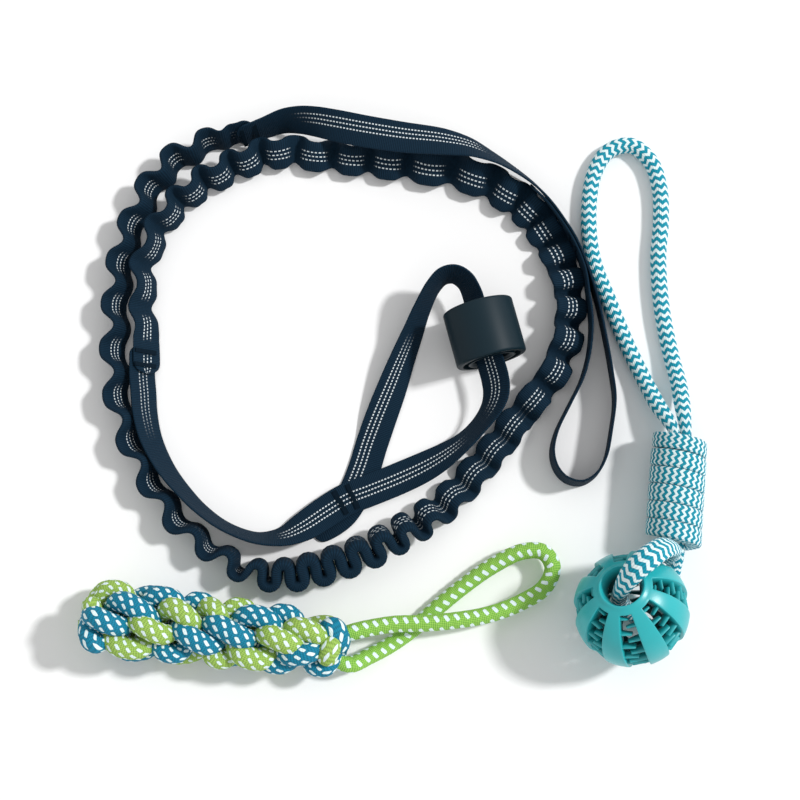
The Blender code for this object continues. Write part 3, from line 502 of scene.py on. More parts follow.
def bend_grid(name, places, across, along, shine=None):
    """Roll a grid into a closed tube, whose places are given row by row, with a map in millimetres."""
    rows, columns = places.shape[0] - 1, places.shape[1] - 1
    bm = bmesh.new()
    bm.loops.layers.uv.new(CLOTH_UV)
    bmesh.ops.create_grid(bm, x_segments=columns, y_segments=rows, size=1, calc_uvs=True)
    data = bpy.data.meshes.new(name)
    bm.to_mesh(data)
    bm.free()
    corners = np.empty(len(data.vertices) * 3)
    data.vertices.foreach_get("co", corners)
    corners = corners.reshape(-1, 3)
    column = np.rint((corners[:, 0] + 1) / 2 * columns).astype(int)
    row = np.rint((corners[:, 1] + 1) / 2 * rows).astype(int)
    data.vertices.foreach_set("co", places[row, column].ravel())
    cloth = data.uv_layers[CLOTH_UV].data
    shares = np.empty(len(cloth) * 2)
    cloth.foreach_get("uv", shares)
    shares = shares.reshape(-1, 2)
    column_at = np.rint(shares[:, 0] * columns).astype(int)
    row_at = np.rint(shares[:, 1] * rows).astype(int)
    across = np.broadcast_to(across, (rows + 1, columns + 1))
    mapped = np.stack([across[row_at, column_at] / MM, along[row_at] / MM], axis=1)
    cloth.foreach_set("uv", mapped.ravel())
    if shine is not None:
        layer = data.attributes.new(SHINE, "FLOAT", "POINT")
        layer.data.foreach_set("value", shine[row, column].ravel())
    bm = bmesh.new()
    bm.from_mesh(data)
    bmesh.ops.remove_doubles(bm, verts=bm.verts, dist=MERGE)
    bmesh.ops.holes_fill(bm, edges=[edge for edge in bm.edges if edge.is_boundary], sides=0)
    bmesh.ops.recalc_face_normals(bm, faces=bm.faces)
    bm.to_mesh(data)
    bm.free()
    data.shade_smooth()
    return link_piece(name, data)


def link_piece(name, data):
    piece = bpy.data.objects.new(name, data)
    bpy.context.scene.collection.objects.link(piece)
    return piece


def bmesh_piece(name, bm, sharp=None):
    """Turn a finished bmesh into an object, smooth but for edges sharper than the given degrees."""
    bmesh.ops.recalc_face_normals(bm, faces=bm.faces)
    data = bpy.data.meshes.new(name)
    bm.to_mesh(data)
    bm.free()
    data.shade_smooth()
    if sharp:
        data.set_sharp_from_angle(angle=math.radians(sharp))
    return link_piece(name, data)


def spun(profile, steps):
    """Spin a closed outline of radii and heights about Z."""
    bm = bmesh.new()
    corners = [bm.verts.new((radius, 0, height)) for radius, height in profile]
    edges = [bm.edges.new(pair) for pair in zip(corners, corners[1:] + corners[:1])]
    bmesh.ops.spin(bm, geom=corners + edges, cent=(0, 0, 0), axis=(0, 0, 1), angle=TURN, steps=steps,
                   use_merge=True)
    return bm


def stand(bm, joint, place):
    """Turn a bmesh from Z to a joint's axis and move it to its place."""
    turn = Vector(JOINTS[joint]["axis"]).to_track_quat("Z", "Y").to_matrix().to_4x4()
    bmesh.ops.transform(bm, matrix=Matrix.Translation(place) @ turn, verts=bm.verts)


def add_node(tree, kind, inputs=(), output=0, **settings):
    """Add one node, set it up, fill or link its inputs, and return one of its outputs."""
    made = tree.nodes.new("ShaderNode" + kind)
    for name, value in settings.items():
        setattr(made, name, value)
    pairs = inputs.items() if isinstance(inputs, dict) else enumerate(inputs)
    for key, value in pairs:
        if isinstance(value, bpy.types.NodeSocket):
            tree.links.new(value, made.inputs[key])
        else:
            made.inputs[key].default_value = value
    return made.outputs[output]


def finish(name, pattern, fixed, relief):
    """Make a material from a pattern's colour and height and the shader's fixed values."""
    material = bpy.data.materials.new(name)
    material.use_nodes = True
    tree = material.node_tree
    shader = tree.nodes["Principled BSDF"]
    for socket, value in fixed.items():
        shader.inputs[socket].default_value = value
    colour, height = pattern(tree)
    tree.links.new(colour, shader.inputs["Base Color"])
    bump = add_node(tree, "Bump", {"Strength": 1.0, "Distance": relief, "Height": height})
    tree.links.new(bump, shader.inputs["Normal"])
    return material


def cloth_places(tree):
    """Read how far across and along the cloth a spot is, in millimetres."""
    across = add_node(tree, "SeparateXYZ", [add_node(tree, "UVMap", uv_map=CLOTH_UV)])
    return across, across.node.outputs[1]


def nearest(tree, cells):
    """Give the whole number nearest to a place, and how far the place is past it."""
    whole = add_node(tree, "Math", (cells,), operation="ROUND")
    return whole, add_node(tree, "Math", (cells, whole), operation="SUBTRACT")


def off_middle(tree, cells):
    """How far a place is from the middle of its cell, whose width is 1."""
    share = add_node(tree, "Math", (cells,), operation="FRACT")
    share = add_node(tree, "Math", (share, 0.5), operation="SUBTRACT")
    return add_node(tree, "Math", (share,), operation="ABSOLUTE")


def ripple(tree, place, pitch):
    """A sine wave along a distance, one wave to each pitch."""
    turned = add_node(tree, "Math", (place, TURN / pitch), operation="MULTIPLY")
    return add_node(tree, "Math", (turned,), operation="SINE")


def shaded(colour, share):
    """A colour darkened to a share of itself."""
    return tuple(part * share for part in colour[:3]) + (1.0,)


def woven_webbing(leash):
    """Black polyester webbing, plain woven with cross ribs, and three rows of white floats.

    The ribs give it a dull, faintly striped face: painted shade darkens the hollows of the ribs and yarns and
    painted highlight lightens their crests. The floats lie on top as small bright dashes.
    """
    def pattern(tree):
        across, along = cloth_places(tree)
        place = add_node(tree, "Math", (across, leash.row / MM), operation="DIVIDE")
        row, off = nearest(tree, place)
        off = add_node(tree, "Math", (off,), operation="ABSOLUTE")
        in_row = add_node(tree, "MapRange", (off, 0.11, 0.17, 1, 0), interpolation_type="SMOOTHSTEP")
        far = add_node(tree, "Math", (place,), operation="ABSOLUTE")
        inner = add_node(tree, "Math", (far, 1.5), operation="LESS_THAN")
        step = add_node(tree, "Math", (along, leash.dash / MM), operation="DIVIDE")
        step = add_node(tree, "Math", (row, 0.35, step), operation="MULTIPLY_ADD")
        step = off_middle(tree, step)
        dash = add_node(tree, "MapRange", (step, 0.24, 0.33, 1, 0), interpolation_type="SMOOTHSTEP")
        white = add_node(tree, "Math", (in_row, inner), operation="MULTIPLY")
        white = add_node(tree, "Math", (white, dash), operation="MULTIPLY")
        # Painted shine: the white floats are drawn only as far as each spot's face looks upward
        shine = add_node(tree, "Attribute", output=2, attribute_name=SHINE)
        seen = add_node(tree, "Math", (white, shine), operation="MULTIPLY")
        rib = ripple(tree, along, leash.rib / MM)
        yarn = ripple(tree, across, WEBBING_YARN)
        weave = add_node(tree, "Math", (yarn, 0.35, rib), operation="MULTIPLY_ADD")
        # Painted shade and highlight: the colour follows the weave's height, darker in its hollows and
        # lighter on its crests
        painted_yarn_shading = add_node(tree, "MapRange", (weave, -1.3, 1.3, 0, 1))
        cloth = add_node(tree, "MixRGB", (painted_yarn_shading, leash.cloth, leash.weave_highlight))
        colour = add_node(tree, "MixRGB", (seen, cloth, leash.white))
        height = add_node(tree, "Math", (white, 1.2, weave), operation="MULTIPLY_ADD")
        return colour, height
    return finish("woven_polyester_webbing", pattern, {"Roughness": 0.8, "Specular IOR Level": 0.15}, 0.00010)


def half_tooth_width(rope):
    """Half the width of a zigzag's tooth round the rope, in millimetres."""
    return math.pi * rope.thickness / MM / rope.teeth / 2


def zigzag_braid(rope):
    """Braided polypropylene cover in teal and white zigzags: dull, with rounded ridges of yarn, its teal
    painted darker in the hollows between yarns as painted shade.
    """
    half_tooth = half_tooth_width(rope)

    def pattern(tree):
        across, along = cloth_places(tree)
        tooth = add_node(tree, "Math", (across, half_tooth), operation="PINGPONG")
        phase = add_node(tree, "Math", (tooth, ZIGZAG_SLOPE, along), operation="MULTIPLY_ADD")
        drift = add_node(tree, "TexCoord", output=3)
        drift = add_node(tree, "TexNoise", {"Vector": drift, "Scale": 350.0, "Detail": 2.0})
        phase = add_node(tree, "Math", (drift, 0.9, phase), operation="MULTIPLY_ADD")
        phase = add_node(tree, "Math", (phase, rope.zigzag / MM), operation="DIVIDE")
        phase = off_middle(tree, phase)
        white = add_node(tree, "MapRange", (phase, 0.20, 0.25, 1, 0), interpolation_type="SMOOTHSTEP")
        yarn = ripple(tree, across, ZIGZAG_YARN)
        # Painted shade: the teal darkens in the hollows between yarns, following the yarns' height
        painted_yarn_shading = add_node(tree, "MapRange", (yarn, -1, 1, 0, 1))
        teal = add_node(tree, "MixRGB", (painted_yarn_shading, rope.teal_painted_shade, rope.teal))
        colour = add_node(tree, "MixRGB", (white, teal, rope.white))
        return colour, yarn
    return finish("zigzag_braided_rope", pattern, {"Roughness": 0.75, "Specular IOR Level": 0.25}, 0.00012)


def flecked_braid(name, light, dark, white, fleck, around, half_long, half_wide, slant):
    """Braided rope with white flecks in staggered rows, each fleck one raised yarn float, on a ground painted
    darker in the hollows between yarns as painted shade.
    """
    turn = math.radians(slant)

    def pattern(tree):
        across, along = cloth_places(tree)
        place = add_node(tree, "Math", (across, around), operation="DIVIDE")
        column, dx = nearest(tree, place)
        dx = add_node(tree, "Math", (dx, around), operation="MULTIPLY")
        stagger = add_node(tree, "Math", (column, 0.5), operation="MULTIPLY")
        cell = add_node(tree, "Math", (along, fleck / MM), operation="DIVIDE")
        cell = add_node(tree, "Math", (cell, stagger), operation="ADD")
        dy = nearest(tree, cell)[1]
        dy = add_node(tree, "Math", (dy, fleck / MM), operation="MULTIPLY")
        near = add_node(tree, "CombineXYZ", (dx, dy, 0))
        near = add_node(tree, "VectorRotate", {"Vector": near, "Angle": turn}, rotation_type="Z_AXIS")
        u = add_node(tree, "SeparateXYZ", [near])
        v = u.node.outputs[1]
        u = add_node(tree, "Math", (u, half_wide), operation="DIVIDE")
        u = add_node(tree, "Math", (u, 4.0), operation="POWER")
        v = add_node(tree, "Math", (v, half_long), operation="DIVIDE")
        v = add_node(tree, "Math", (v, 4.0), operation="POWER")
        inside = add_node(tree, "Math", (u, v), operation="ADD")
        fleck_here = add_node(tree, "MapRange", (inside, 0.7, 1.3, 1, 0), interpolation_type="SMOOTHSTEP")
        rise = ripple(tree, add_node(tree, "Math", (across, along), operation="ADD"), FLECKED_YARN)
        fall = ripple(tree, add_node(tree, "Math", (across, along), operation="SUBTRACT"), FLECKED_YARN)
        yarn = add_node(tree, "Math", (rise, fall), operation="MULTIPLY")
        # Painted shade: the ground darkens in the hollows between yarns, following the yarns' height
        painted_yarn_shading = add_node(tree, "MapRange", (yarn, -0.8, 0.4, 0, 1))
        ground = add_node(tree, "MixRGB", (painted_yarn_shading, dark, light))
        colour = add_node(tree, "MixRGB", (fleck_here, ground, white))
        height = add_node(tree, "Math", (fleck_here, 1.5, yarn), operation="MULTIPLY_ADD")
        return colour, height
    return finish(name, pattern, {"Roughness": 0.72, "Specular IOR Level": 0.3}, 0.00014)


def moulded_rubber(name, colour, roughness, mottle, gloss, hollow=None):
    """Moulded rubber: an even colour with a faint cloudy bloom and a finely pitted skin.

    hollow gives a ball's centre, inner radius and outer radius: its inside is painted darker towards the
    inner wall as painted shade.
    """
    def pattern(tree):
        place = add_node(tree, "TexCoord", output=3)
        cloud = add_node(tree, "TexNoise", {"Vector": place, "Scale": 60.0, "Detail": 3.0})
        pits = add_node(tree, "TexNoise", {"Vector": place, "Scale": 900.0, "Detail": 2.0})
        skin = add_node(tree, "MixRGB", (cloud, shaded(colour, mottle), tuple(colour)))
        if hollow:
            centre, inner, outer = hollow
            # Painted shade: the skin darkens towards the inner wall of the hollow
            depth = add_node(tree, "VectorMath", (place, centre), output=1, operation="DISTANCE")
            depth = add_node(tree, "MapRange", (depth, inner, outer, 0, 1))
            skin = add_node(tree, "MixRGB", (depth, shaded(colour, PAINTED_HOLLOW_SHADE), skin))
        return skin, pits
    return finish(name, pattern, {"Roughness": roughness, "Specular IOR Level": gloss}, 0.00003)


def thread_block(leash):
    """Black bonded thread in tight stitches: as dark as the webbing under it, with a fine grain."""
    def pattern(tree):
        place = add_node(tree, "TexCoord", output=3)
        stitch = add_node(tree, "TexNoise", {"Vector": place, "Scale": 1400.0, "Detail": 1.0})
        return add_node(tree, "MixRGB", (stitch, leash.thread, leash.cloth)), stitch
    return finish("bonded_thread", pattern, {"Roughness": 0.85, "Specular IOR Level": 0.1}, 0.0001)


def wear(piece, material, body, slot, *nodes):
    """Give a piece its material, its body and the CAD nodes it stands for. slot is not used."""
    piece.data.materials.append(material)
    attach(piece, body)
    if nodes:
        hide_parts(*nodes)
    return piece


def upward_shine(places, fade):
    """The white floats are white yarn; how bright they show at each spot is painted shine, from how far its
    face looks upward.
    """
    down_path, round_path = np.gradient(places, axis=0), np.gradient(places, axis=1)
    upward = np.abs(unit(np.cross(down_path, round_path) + TINY)[..., 2])
    share = np.clip((upward - fade[0]) / (fade[1] - fade[0]), 0, 1)
    return share * share * (3 - 2 * share)


def rounded_ends(along, width):
    """Half width of a strip at each distance along it, with both its ends cut round."""
    near = np.minimum(along, along[-1] - along) / (width * END_ROUND_SHARE)
    return width / 2 * np.sqrt(1 - END_FLAT_SHARE * (1 - near.clip(0, 1)) ** 2)


def strap(name, samples, width, centre_rows):
    """Sweep webbing along its samples. centre_rows says how far off centre its white rows run."""
    points, rolls = samples[:, :3], np.radians(samples[:, 3])
    reach = np.abs(np.sin(rolls)) * width / 2 + np.abs(np.cos(rolls)) * WEB_THICKNESS / 2
    points[:, 2] = np.maximum(points[:, 2], reach)
    wide_way, face_way = frames_along(points, rolls)
    wide, thick = flat_section(STRAP_COLUMNS, STRAP_SQUARENESS)
    along = run_lengths(samples)
    spread, rise = rounded_ends(along, width)[:, None] * wide[None], thick * WEB_THICKNESS / 2
    places = points[:, None] + wide_way[:, None] * spread[..., None] + face_way[:, None] * rise[:, None]
    offset = np.interp(along, *zip(*centre_rows))[:, None]
    piece = bend_grid(name, places, spread - offset, along, upward_shine(places, STRAP_FADE))
    return piece, points


def swell(height):
    """Thickness of the tube: it puffs out where its waves are taller, most where they are packed."""
    packed = np.maximum(0, height - SLEEVE_PACKED_FROM)
    return SLEEVE_THICKNESS + SLEEVE_SWELL_SHARE * height + SLEEVE_PACKED_SHARE * packed


def wave_shape(phase, lobe):
    """The wave's swing at a phase: broad on the side the lobe names and pinched on the other."""
    return math.sin(phase) + LOBE_SHARE * lobe * math.cos(2 * phase)


def rest_height(tilt, sway, height, lobe):
    """Height of the band's middle line at which its lowest edge just touches the floor."""
    lowest = 0
    for step in range(REST_STEPS):
        phase = TURN * step / REST_STEPS
        local = tilt + sway * math.sin(phase)
        thick = abs(math.sin(local)) * swell(height)
        edge = (abs(math.cos(local)) * SLEEVE_WIDTH + thick) / 2
        lowest = max(lowest, edge - math.sin(tilt) * height * wave_shape(phase, lobe))
    return lowest


def sleeve_line():
    """Follow the shirred band: centre, width direction, wave height, spine, phase and lobe."""
    table = in_metres(SLEEVE_ROUTE, 2)
    table[:, [3, 4]] *= MM
    table[:, [2, 5]] = np.radians(table[:, [2, 5]])
    dense = smooth_curve(np.insert(table, 2, 0, axis=1))
    along = run_lengths(dense)
    pitch = dense[:, 5]
    waves = np.concatenate([[0], np.cumsum(np.diff(along) / ((pitch[1:] + pitch[:-1]) / 2))])
    total = int(waves[-1] * SLEEVE_STATIONS_PER_WAVE)
    stops = np.concatenate([[0], (np.arange(total) + 0.5) / SLEEVE_STATIONS_PER_WAVE, [waves[-1]]])
    where = np.interp(stops, waves, along)
    rows = read_at(dense, along, where)
    lobes = np.interp(where, *zip(*LOBES))
    rests = [rest_height(*row[[3, 6, 4]], lobe) for row, lobe in zip(rows, lobes)]
    centres, widths = [], []
    for row, stop, spot, lobe, rest in zip(rows, stops, where, lobes, rests):
        tilt, height, wave, sway = row[3:7]
        steep = (height / wave) ** 2
        lean = MEANDER_LEAN_SHARE * steep / (1 + MEANDER_EASE_SHARE * steep)
        phase = TURN * stop
        spot = min(max(spot - wave * lean * math.sin(2 * phase), 0), along[-1])
        x, y = read_at(dense[:, :2], along, [spot])[0]
        ahead = read_at(dense[:, :2], along, [min(spot + WEB_THICKNESS, along[-1])])[0]
        back = read_at(dense[:, :2], along, [max(spot - WEB_THICKNESS, 0)])[0]
        travel = (ahead - back) / np.linalg.norm(ahead - back)
        left = np.array((-travel[1], travel[0], 0))
        up = np.array((0, 0, 1))
        face = math.cos(tilt) * left + math.sin(tilt) * up
        centres.append(np.array((x, y, rest)) + face * height * wave_shape(phase, lobe))
        local = tilt + sway * math.sin(phase)
        widths.append(math.sin(local) * left - math.cos(local) * up)
    spine = np.column_stack([rows[:, :2], rests])
    return np.array(centres), np.array(widths), rows[:, 4], spine, TURN * stops, lobes


class DOGTOY_OT_stage(bpy.types.Operator):
    """Set the floor, the lamps and the camera"""
    bl_idname = "dogtoy.stage"
    bl_label = "Stage"

    def execute(self, context):
        stage = context.scene.dogtoy_stage
        camera = bpy.data.cameras.new("photo_camera")
        camera.sensor_width = SENSOR
        camera.lens = SENSOR * FOCAL_PIXELS / FRAME_PIXELS
        eye = link_piece("photo_camera", camera)
        tilt = math.radians(90 - ELEVATION)
        eye.location = Vector(TARGET) + Vector((0, -math.sin(tilt), math.cos(tilt))) * stage.distance
        eye.rotation_euler = (tilt, 0, 0)
        context.scene.camera = eye
        lamp = bpy.data.lights.new("right_lamp", "SUN")
        lamp.energy = stage.sun
        lamp.angle = math.radians(LAMP_SPREAD)
        sun = link_piece("right_lamp", lamp)
        sun.rotation_euler = Vector(LAMP_FROM).to_track_quat("Z", "Y").to_euler()
        world = bpy.data.worlds.new("pale_room")
        world.use_nodes = True
        context.scene.world = world
        tree = world.node_tree
        sky = tree.nodes["Background"]
        rays = add_node(tree, "LightPath")
        seen = add_node(tree, "Math", (rays, rays.node.outputs["Is Glossy Ray"]), operation="MAXIMUM")
        seen = add_node(tree, "Math", (seen, rays.node.outputs["Is Transmission Ray"]), operation="MAXIMUM")
        power = add_node(tree, "MapRange", (seen, 0, 1, stage.sky, 1))
        tree.links.new(power, sky.inputs["Strength"])
        sky.inputs["Color"].default_value = linear("#ffffff")
        bm = bmesh.new()
        bmesh.ops.create_grid(bm, x_segments=8, y_segments=8, size=FLOOR_HALF)
        floor = bmesh_piece("floor", bm)
        material = bpy.data.materials.new("white_sweep")
        material.use_nodes = True
        shader = material.node_tree.nodes["Principled BSDF"]
        shader.inputs["Base Color"].default_value = stage.floor
        shader.inputs["Roughness"].default_value = 0.9
        shader.inputs["Specular IOR Level"].default_value = 0.1
        floor.data.materials.append(material)
        context.scene.view_settings.view_transform = "Standard"
        return {"FINISHED"}


class DOGTOY_OT_straps(bpy.types.Operator):
    """Sweep the anchor webbing and the toy strap"""
    bl_idname = "dogtoy.straps"
    bl_label = "Straps"

    def execute(self, context):
        leash = context.scene.dogtoy_leash
        cloth = woven_webbing(leash)
        samples = even_samples(smooth_curve(in_metres(ANCHOR_ROUTE)), STRAP_STEP)
        piece, path = strap("anchor_cloth", samples, leash.width, ANCHOR_ROWS)
        wear(piece, cloth, "leash", "webbing", "anchor_webbing")
        outward = in_metres(TOY_ROUTE)
        face_way = frames_along(outward[:, :3], np.radians(outward[:, 3]))[1]
        folded = []
        for stop in range(TOY_FOLD_TO, TOY_FOLD_FROM - 1, -1):
            layer = outward[stop, :3] - face_way[stop] * (WEB_THICKNESS + SEAT_GAP)
            folded.append((*layer, -180 - outward[stop, 3]))
        samples = even_samples(smooth_curve(np.vstack([outward, folded])), STRAP_STEP)
        piece, path = strap("toy_strap_cloth", samples, leash.width, TOY_ROWS)
        wear(piece, cloth, "leash", "webbing", "toy_strap")
        return {"FINISHED"}


class DOGTOY_OT_bungee(bpy.types.Operator):
    """Gather the tubular sleeve over its elastic"""
    bl_idname = "dogtoy.bungee"
    bl_label = "Bungee sleeve"

    def execute(self, context):
        leash = context.scene.dogtoy_leash
        centres, widths, heights, spine, phases, lobes = sleeve_line()
        across_way = square_to(widths, centres)
        face_way = np.cross(unit(np.gradient(centres, axis=0)), across_way)
        reach = run_lengths(centres)
        inside = np.minimum(reach, reach[-1] - reach) - SLEEVE_FLAT_END
        full = np.clip(inside / SLEEVE_SWELL_LENGTH, 0, 1)
        thickness = WEB_THICKNESS + (swell(heights) - WEB_THICKNESS) * full
        wide, thick = flat_section(SLEEVE_COLUMNS, SLEEVE_SQUARENESS)
        crest = (1 + np.sin(phases)) / 2
        inner_pull = (INNER_DRAW_SHARES[0] + INNER_DRAW_SHARES[1] * lobes) * (1 - crest) ** 2
        outer_pull = (OUTER_DRAW_SHARES[0] + OUTER_DRAW_SHARES[1] * lobes) * crest ** 2
        pull = np.where(wide[None] < 0, inner_pull[:, None], outer_pull[:, None]) * full[:, None]
        run = reach / reach[-1] * run_lengths(spine)[-1]
        spread = wide[None] * (rounded_ends(reach, SLEEVE_WIDTH)[:, None] - EDGE_DRAW * pull)
        spread += wide[None].clip(0) * np.interp(run, *zip(*OUTER_SPREAD))[:, None]
        rise = thickness[:, None] / 2 * thick[None]
        places = centres[:, None] + across_way[:, None] * spread[..., None]
        places += face_way[:, None] * rise[..., None]
        places[..., 2] = places[..., 2].clip(0)
        broad = np.where(lobes > 0, crest, 1 - crest)
        hidden = np.interp(run, *zip(*FLOAT_GAPS)) * np.interp(broad, FLOATS_SHOW_SHARES, (1, 0))
        shine = upward_shine(places, SLEEVE_FADE) * (1 - hidden)[:, None]
        piece = bend_grid("bungee_cloth", places, wide[None] * SLEEVE_WIDTH / 2, reach, shine)
        wear(piece, woven_webbing(leash), "leash", "webbing", "bungee_sleeve")
        return {"FINISHED"}


class DOGTOY_OT_tacks(bpy.types.Operator):
    """Give the bar tacks the thread material"""
    bl_idname = "dogtoy.tacks"
    bl_label = "Bar tacks"

    def execute(self, context):
        thread = thread_block(context.scene.dogtoy_leash)
        for name in sorted(frame["nodes"]):
            if "_tack_" not in name:
                continue
            frame["nodes"][name].data.materials.clear()
            frame["nodes"][name].data.materials.append(thread)
        return {"FINISHED"}


class DOGTOY_OT_stopper(bpy.types.Operator):
    """Turn the door stopper"""
    bl_idname = "dogtoy.stopper"
    bl_label = "Door stopper"

    def execute(self, context):
        leash = context.scene.dogtoy_leash
        low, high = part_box("door_stopper")
        middle = (low + high) / 2
        outer, half, bore = STOPPER_RADIUS, STOPPER_HALF_LENGTH, STOPPER_BORE_RADIUS
        rim, collar = outer - STOPPER_RIM_WIDTH, bore + STOPPER_COLLAR_WALL
        floor, edge = half - STOPPER_RECESS_DEPTH, STOPPER_EDGE_RADIUS
        top = [(bore, half - edge), (bore + edge, half), (collar, half), (collar, floor), (rim, floor),
               (rim, half), (outer - edge, half)]
        for step in range(1, STOPPER_EDGE_STEPS + 1):
            turn = TURN / 4 * step / STOPPER_EDGE_STEPS
            top.append((outer - edge + edge * math.sin(turn), half - edge + edge * math.cos(turn)))
        profile = top + [(radius, -height) for radius, height in reversed(top)]
        bm = spun(profile, STOPPER_SIDES)
        stand(bm, "stopper_slide", middle)
        piece = bmesh_piece("stopper_body", bm, STOPPER_SHARP)
        rubber = moulded_rubber("moulded_nitrile_rubber", leash.rubber, 0.5, 0.85, 0.2)
        wear(piece, rubber, "stopper", "stopper_rubber", "door_stopper")
        return {"FINISHED"}


def wrap_frame():
    """Give the knot's ends, its direction and two directions across it."""
    top, bottom = in_row(WRAP_TOP), in_row(WRAP_BOTTOM)
    along = (bottom - top).normalized()
    side = along.cross((0, 0, 1)).normalized()
    return top, bottom, along, side, side.cross(along).normalized()


def knot_line(thickness):
    """Points of the barrel knot's one rope, in touching turns round the two legs."""
    top, bottom, along, side, high = wrap_frame()
    radius = (WRAP_OUTER_DIAMETER - thickness) / 2
    middle = (top + bottom) / 2
    points = []
    for step in range(int(WRAP_TURNS * WRAP_POINTS_PER_TURN) + 1):
        turns = step / WRAP_POINTS_PER_TURN
        angle = TURN * turns
        offset = (turns - WRAP_TURNS / 2) * WRAP_PITCH
        points.append(middle + along * offset + (side * math.cos(angle) + high * math.sin(angle)) * radius)
    ends = []
    for end, before in ((points[0], points[1]), (points[-1], points[-2])):
        inward = (middle - end) - along * (middle - end).dot(along)
        ends.append(end + (end - before).normalized() * thickness + inward.normalized() * WRAP_TUCK)
    points = [ends[0]] + points + [ends[1]]
    shares = np.interp(range(len(points)), (0, WRAP_POINTS_PER_TURN), (WRAP_START_SHARE, 1))
    return np.array([(*point, share) for point, share in zip(points, shares)])


def loop_line(route, start_side, entry, thickness):
    """Points of a rope loop whose two legs run half way into the knot."""
    top, bottom, along, side, _ = wrap_frame()
    middle = (top + bottom) / 2
    away = along if entry == "bottom" else -along
    apart = side * (thickness / 2 * KNOT_LEG_SHARE + SEAT_GAP / 2)
    depth = (bottom - top).length / 2
    legs = []
    for lean in (start_side, -start_side):
        inner = middle + apart * lean
        legs.append([(*(inner + away * reach), KNOT_LEG_SHARE)
                     for reach in (SEAT_GAP / 2, depth / 2, depth)])
    return np.array(legs[0] + [tuple(row) for row in in_metres(route)] + legs[1][::-1])


def rope_skin(name, rows, thickness, relief, squeeze=None, tooth=None, finer=1):
    """Skin a rope along its rows with its relief, pressed flat where squeeze says.

    finer is how much its braid is drawn together. With a tooth's width given the rope is pressed
    square too, and whole teeth go round it.
    """
    samples = even_samples(smooth_curve(rows), ROPE_STEP)
    radius = samples[:, 3] * thickness / 2
    points = samples[:, :3]
    points[:, 2] = np.maximum(points[:, 2], radius)
    angle, spoke = round_spokes(points, ROPE_COLUMNS)
    across = np.broadcast_to(angle / TURN * math.pi * thickness, (len(points), ROPE_COLUMNS + 1))
    along = run_lengths(points)
    if squeeze is not None:
        flat_way, thin, wide = squeeze(points, along)
        share = np.abs(np.sum(spoke * flat_way[:, None], axis=2))
        deep = np.sum(spoke * flat_way[:, None], axis=2)[..., None] * flat_way[:, None]
        spoke = deep * thin[:, None, None] + (spoke - deep) * wide[:, None, None]
    if tooth:
        corner = share ** SQUARE_POWER + (1 - share ** 2).clip(0) ** (SQUARE_POWER / 2)
        spoke = spoke * corner[..., None] ** (-1 / SQUARE_POWER)
        hops = np.linalg.norm(np.diff(spoke, axis=1), axis=2) * radius[:, None]
        reach = np.hstack([np.zeros((len(points), 1)), np.cumsum(hops, axis=1)])
        around = reach[:, -1:]
        across = reach / around * np.rint(np.median(around) * WRAP_TOOTH_FINER / tooth) * tooth
    grown = radius[:, None] + relief(across / MM, along[:, None] * finer / MM)
    return bend_grid(name, points[:, None] + spoke * grown[..., None], across, along * finer), points


def zigzag_relief(rope):
    """Height of the braid's rounded ridges, one for each band of the zigzag."""
    half_tooth = half_tooth_width(rope)
    pitch = rope.zigzag / MM

    def height(across, along):
        tooth = np.abs((across + half_tooth) % (2 * half_tooth) - half_tooth)
        tooth = half_tooth - tooth
        band = (2 * (along + ZIGZAG_SLOPE * tooth) / pitch) % 1 * 2 - 1
        corner = np.minimum(tooth, half_tooth - tooth) / half_tooth
        return RIDGE_HEIGHT * ((1 - band ** 2) * (0.6 + 0.8 * corner) - 0.7)
    return height


def fleck_relief(fleck, around, rise):
    """Height of a solid braid's bumps, one under each fleck and between them."""
    def height(across, along):
        return rise * (np.cos(TURN * across / around) * np.cos(TURN * along / (fleck / MM)))
    return height


class DOGTOY_OT_knotted_rope(bpy.types.Operator):
    """Braid the zigzag rope: its hand loop, its barrel knot and the loop that holds the ball"""
    bl_idname = "dogtoy.knotted_rope"
    bl_label = "Knotted rope"

    def execute(self, context):
        rope = context.scene.dogtoy_rope
        braid = zigzag_braid(rope)
        relief = zigzag_relief(rope)
        ball = Vector(JOINTS["ball_spin"]["pos_m"])

        def over_ball(points, along):
            away = square_to(points - np.array(ball), points)
            flat = np.interp(along, *zip(*BALL_FLATTENING))
            return away, 1 - BALL_THIN_SHARE * flat, 1 + BALL_WIDE_SHARE * flat

        def in_knot(points, along):
            top, bottom, axis, _, _ = wrap_frame()
            away = points - np.array(top)
            away = unit(away - np.outer(away @ np.array(axis), axis))
            even = np.ones(len(points))
            return away, even * WRAP_THIN_SHARE, even * WRAP_WIDE_SHARE

        hand = loop_line(HAND_LOOP_ROUTE, -1, "top", rope.thickness)
        over = loop_line(BALL_LOOP_ROUTE, 1, "bottom", rope.thickness)
        wrap = knot_line(rope.thickness)
        tooth = math.pi * rope.thickness / rope.teeth
        lines = (("hand_loop_braid", "rope_hand_loop", hand, None, None, 1, "loose"),
                 ("knot_braid", "rope_knot_wrap", wrap, in_knot, tooth, WRAP_BAND_FINER, "coiled"),
                 ("ball_loop_braid", "rope_ball_loop", over, over_ball, None, BALL_BAND_FINER, "loose"))
        for name, node, rows, squeeze, tooth, finer, lay in lines:
            piece, path = rope_skin(name, rows, rope.thickness, relief, squeeze, tooth, finer)
            wear(piece, braid, "ball_rope", "chevron_rope", node)
        return {"FINISHED"}


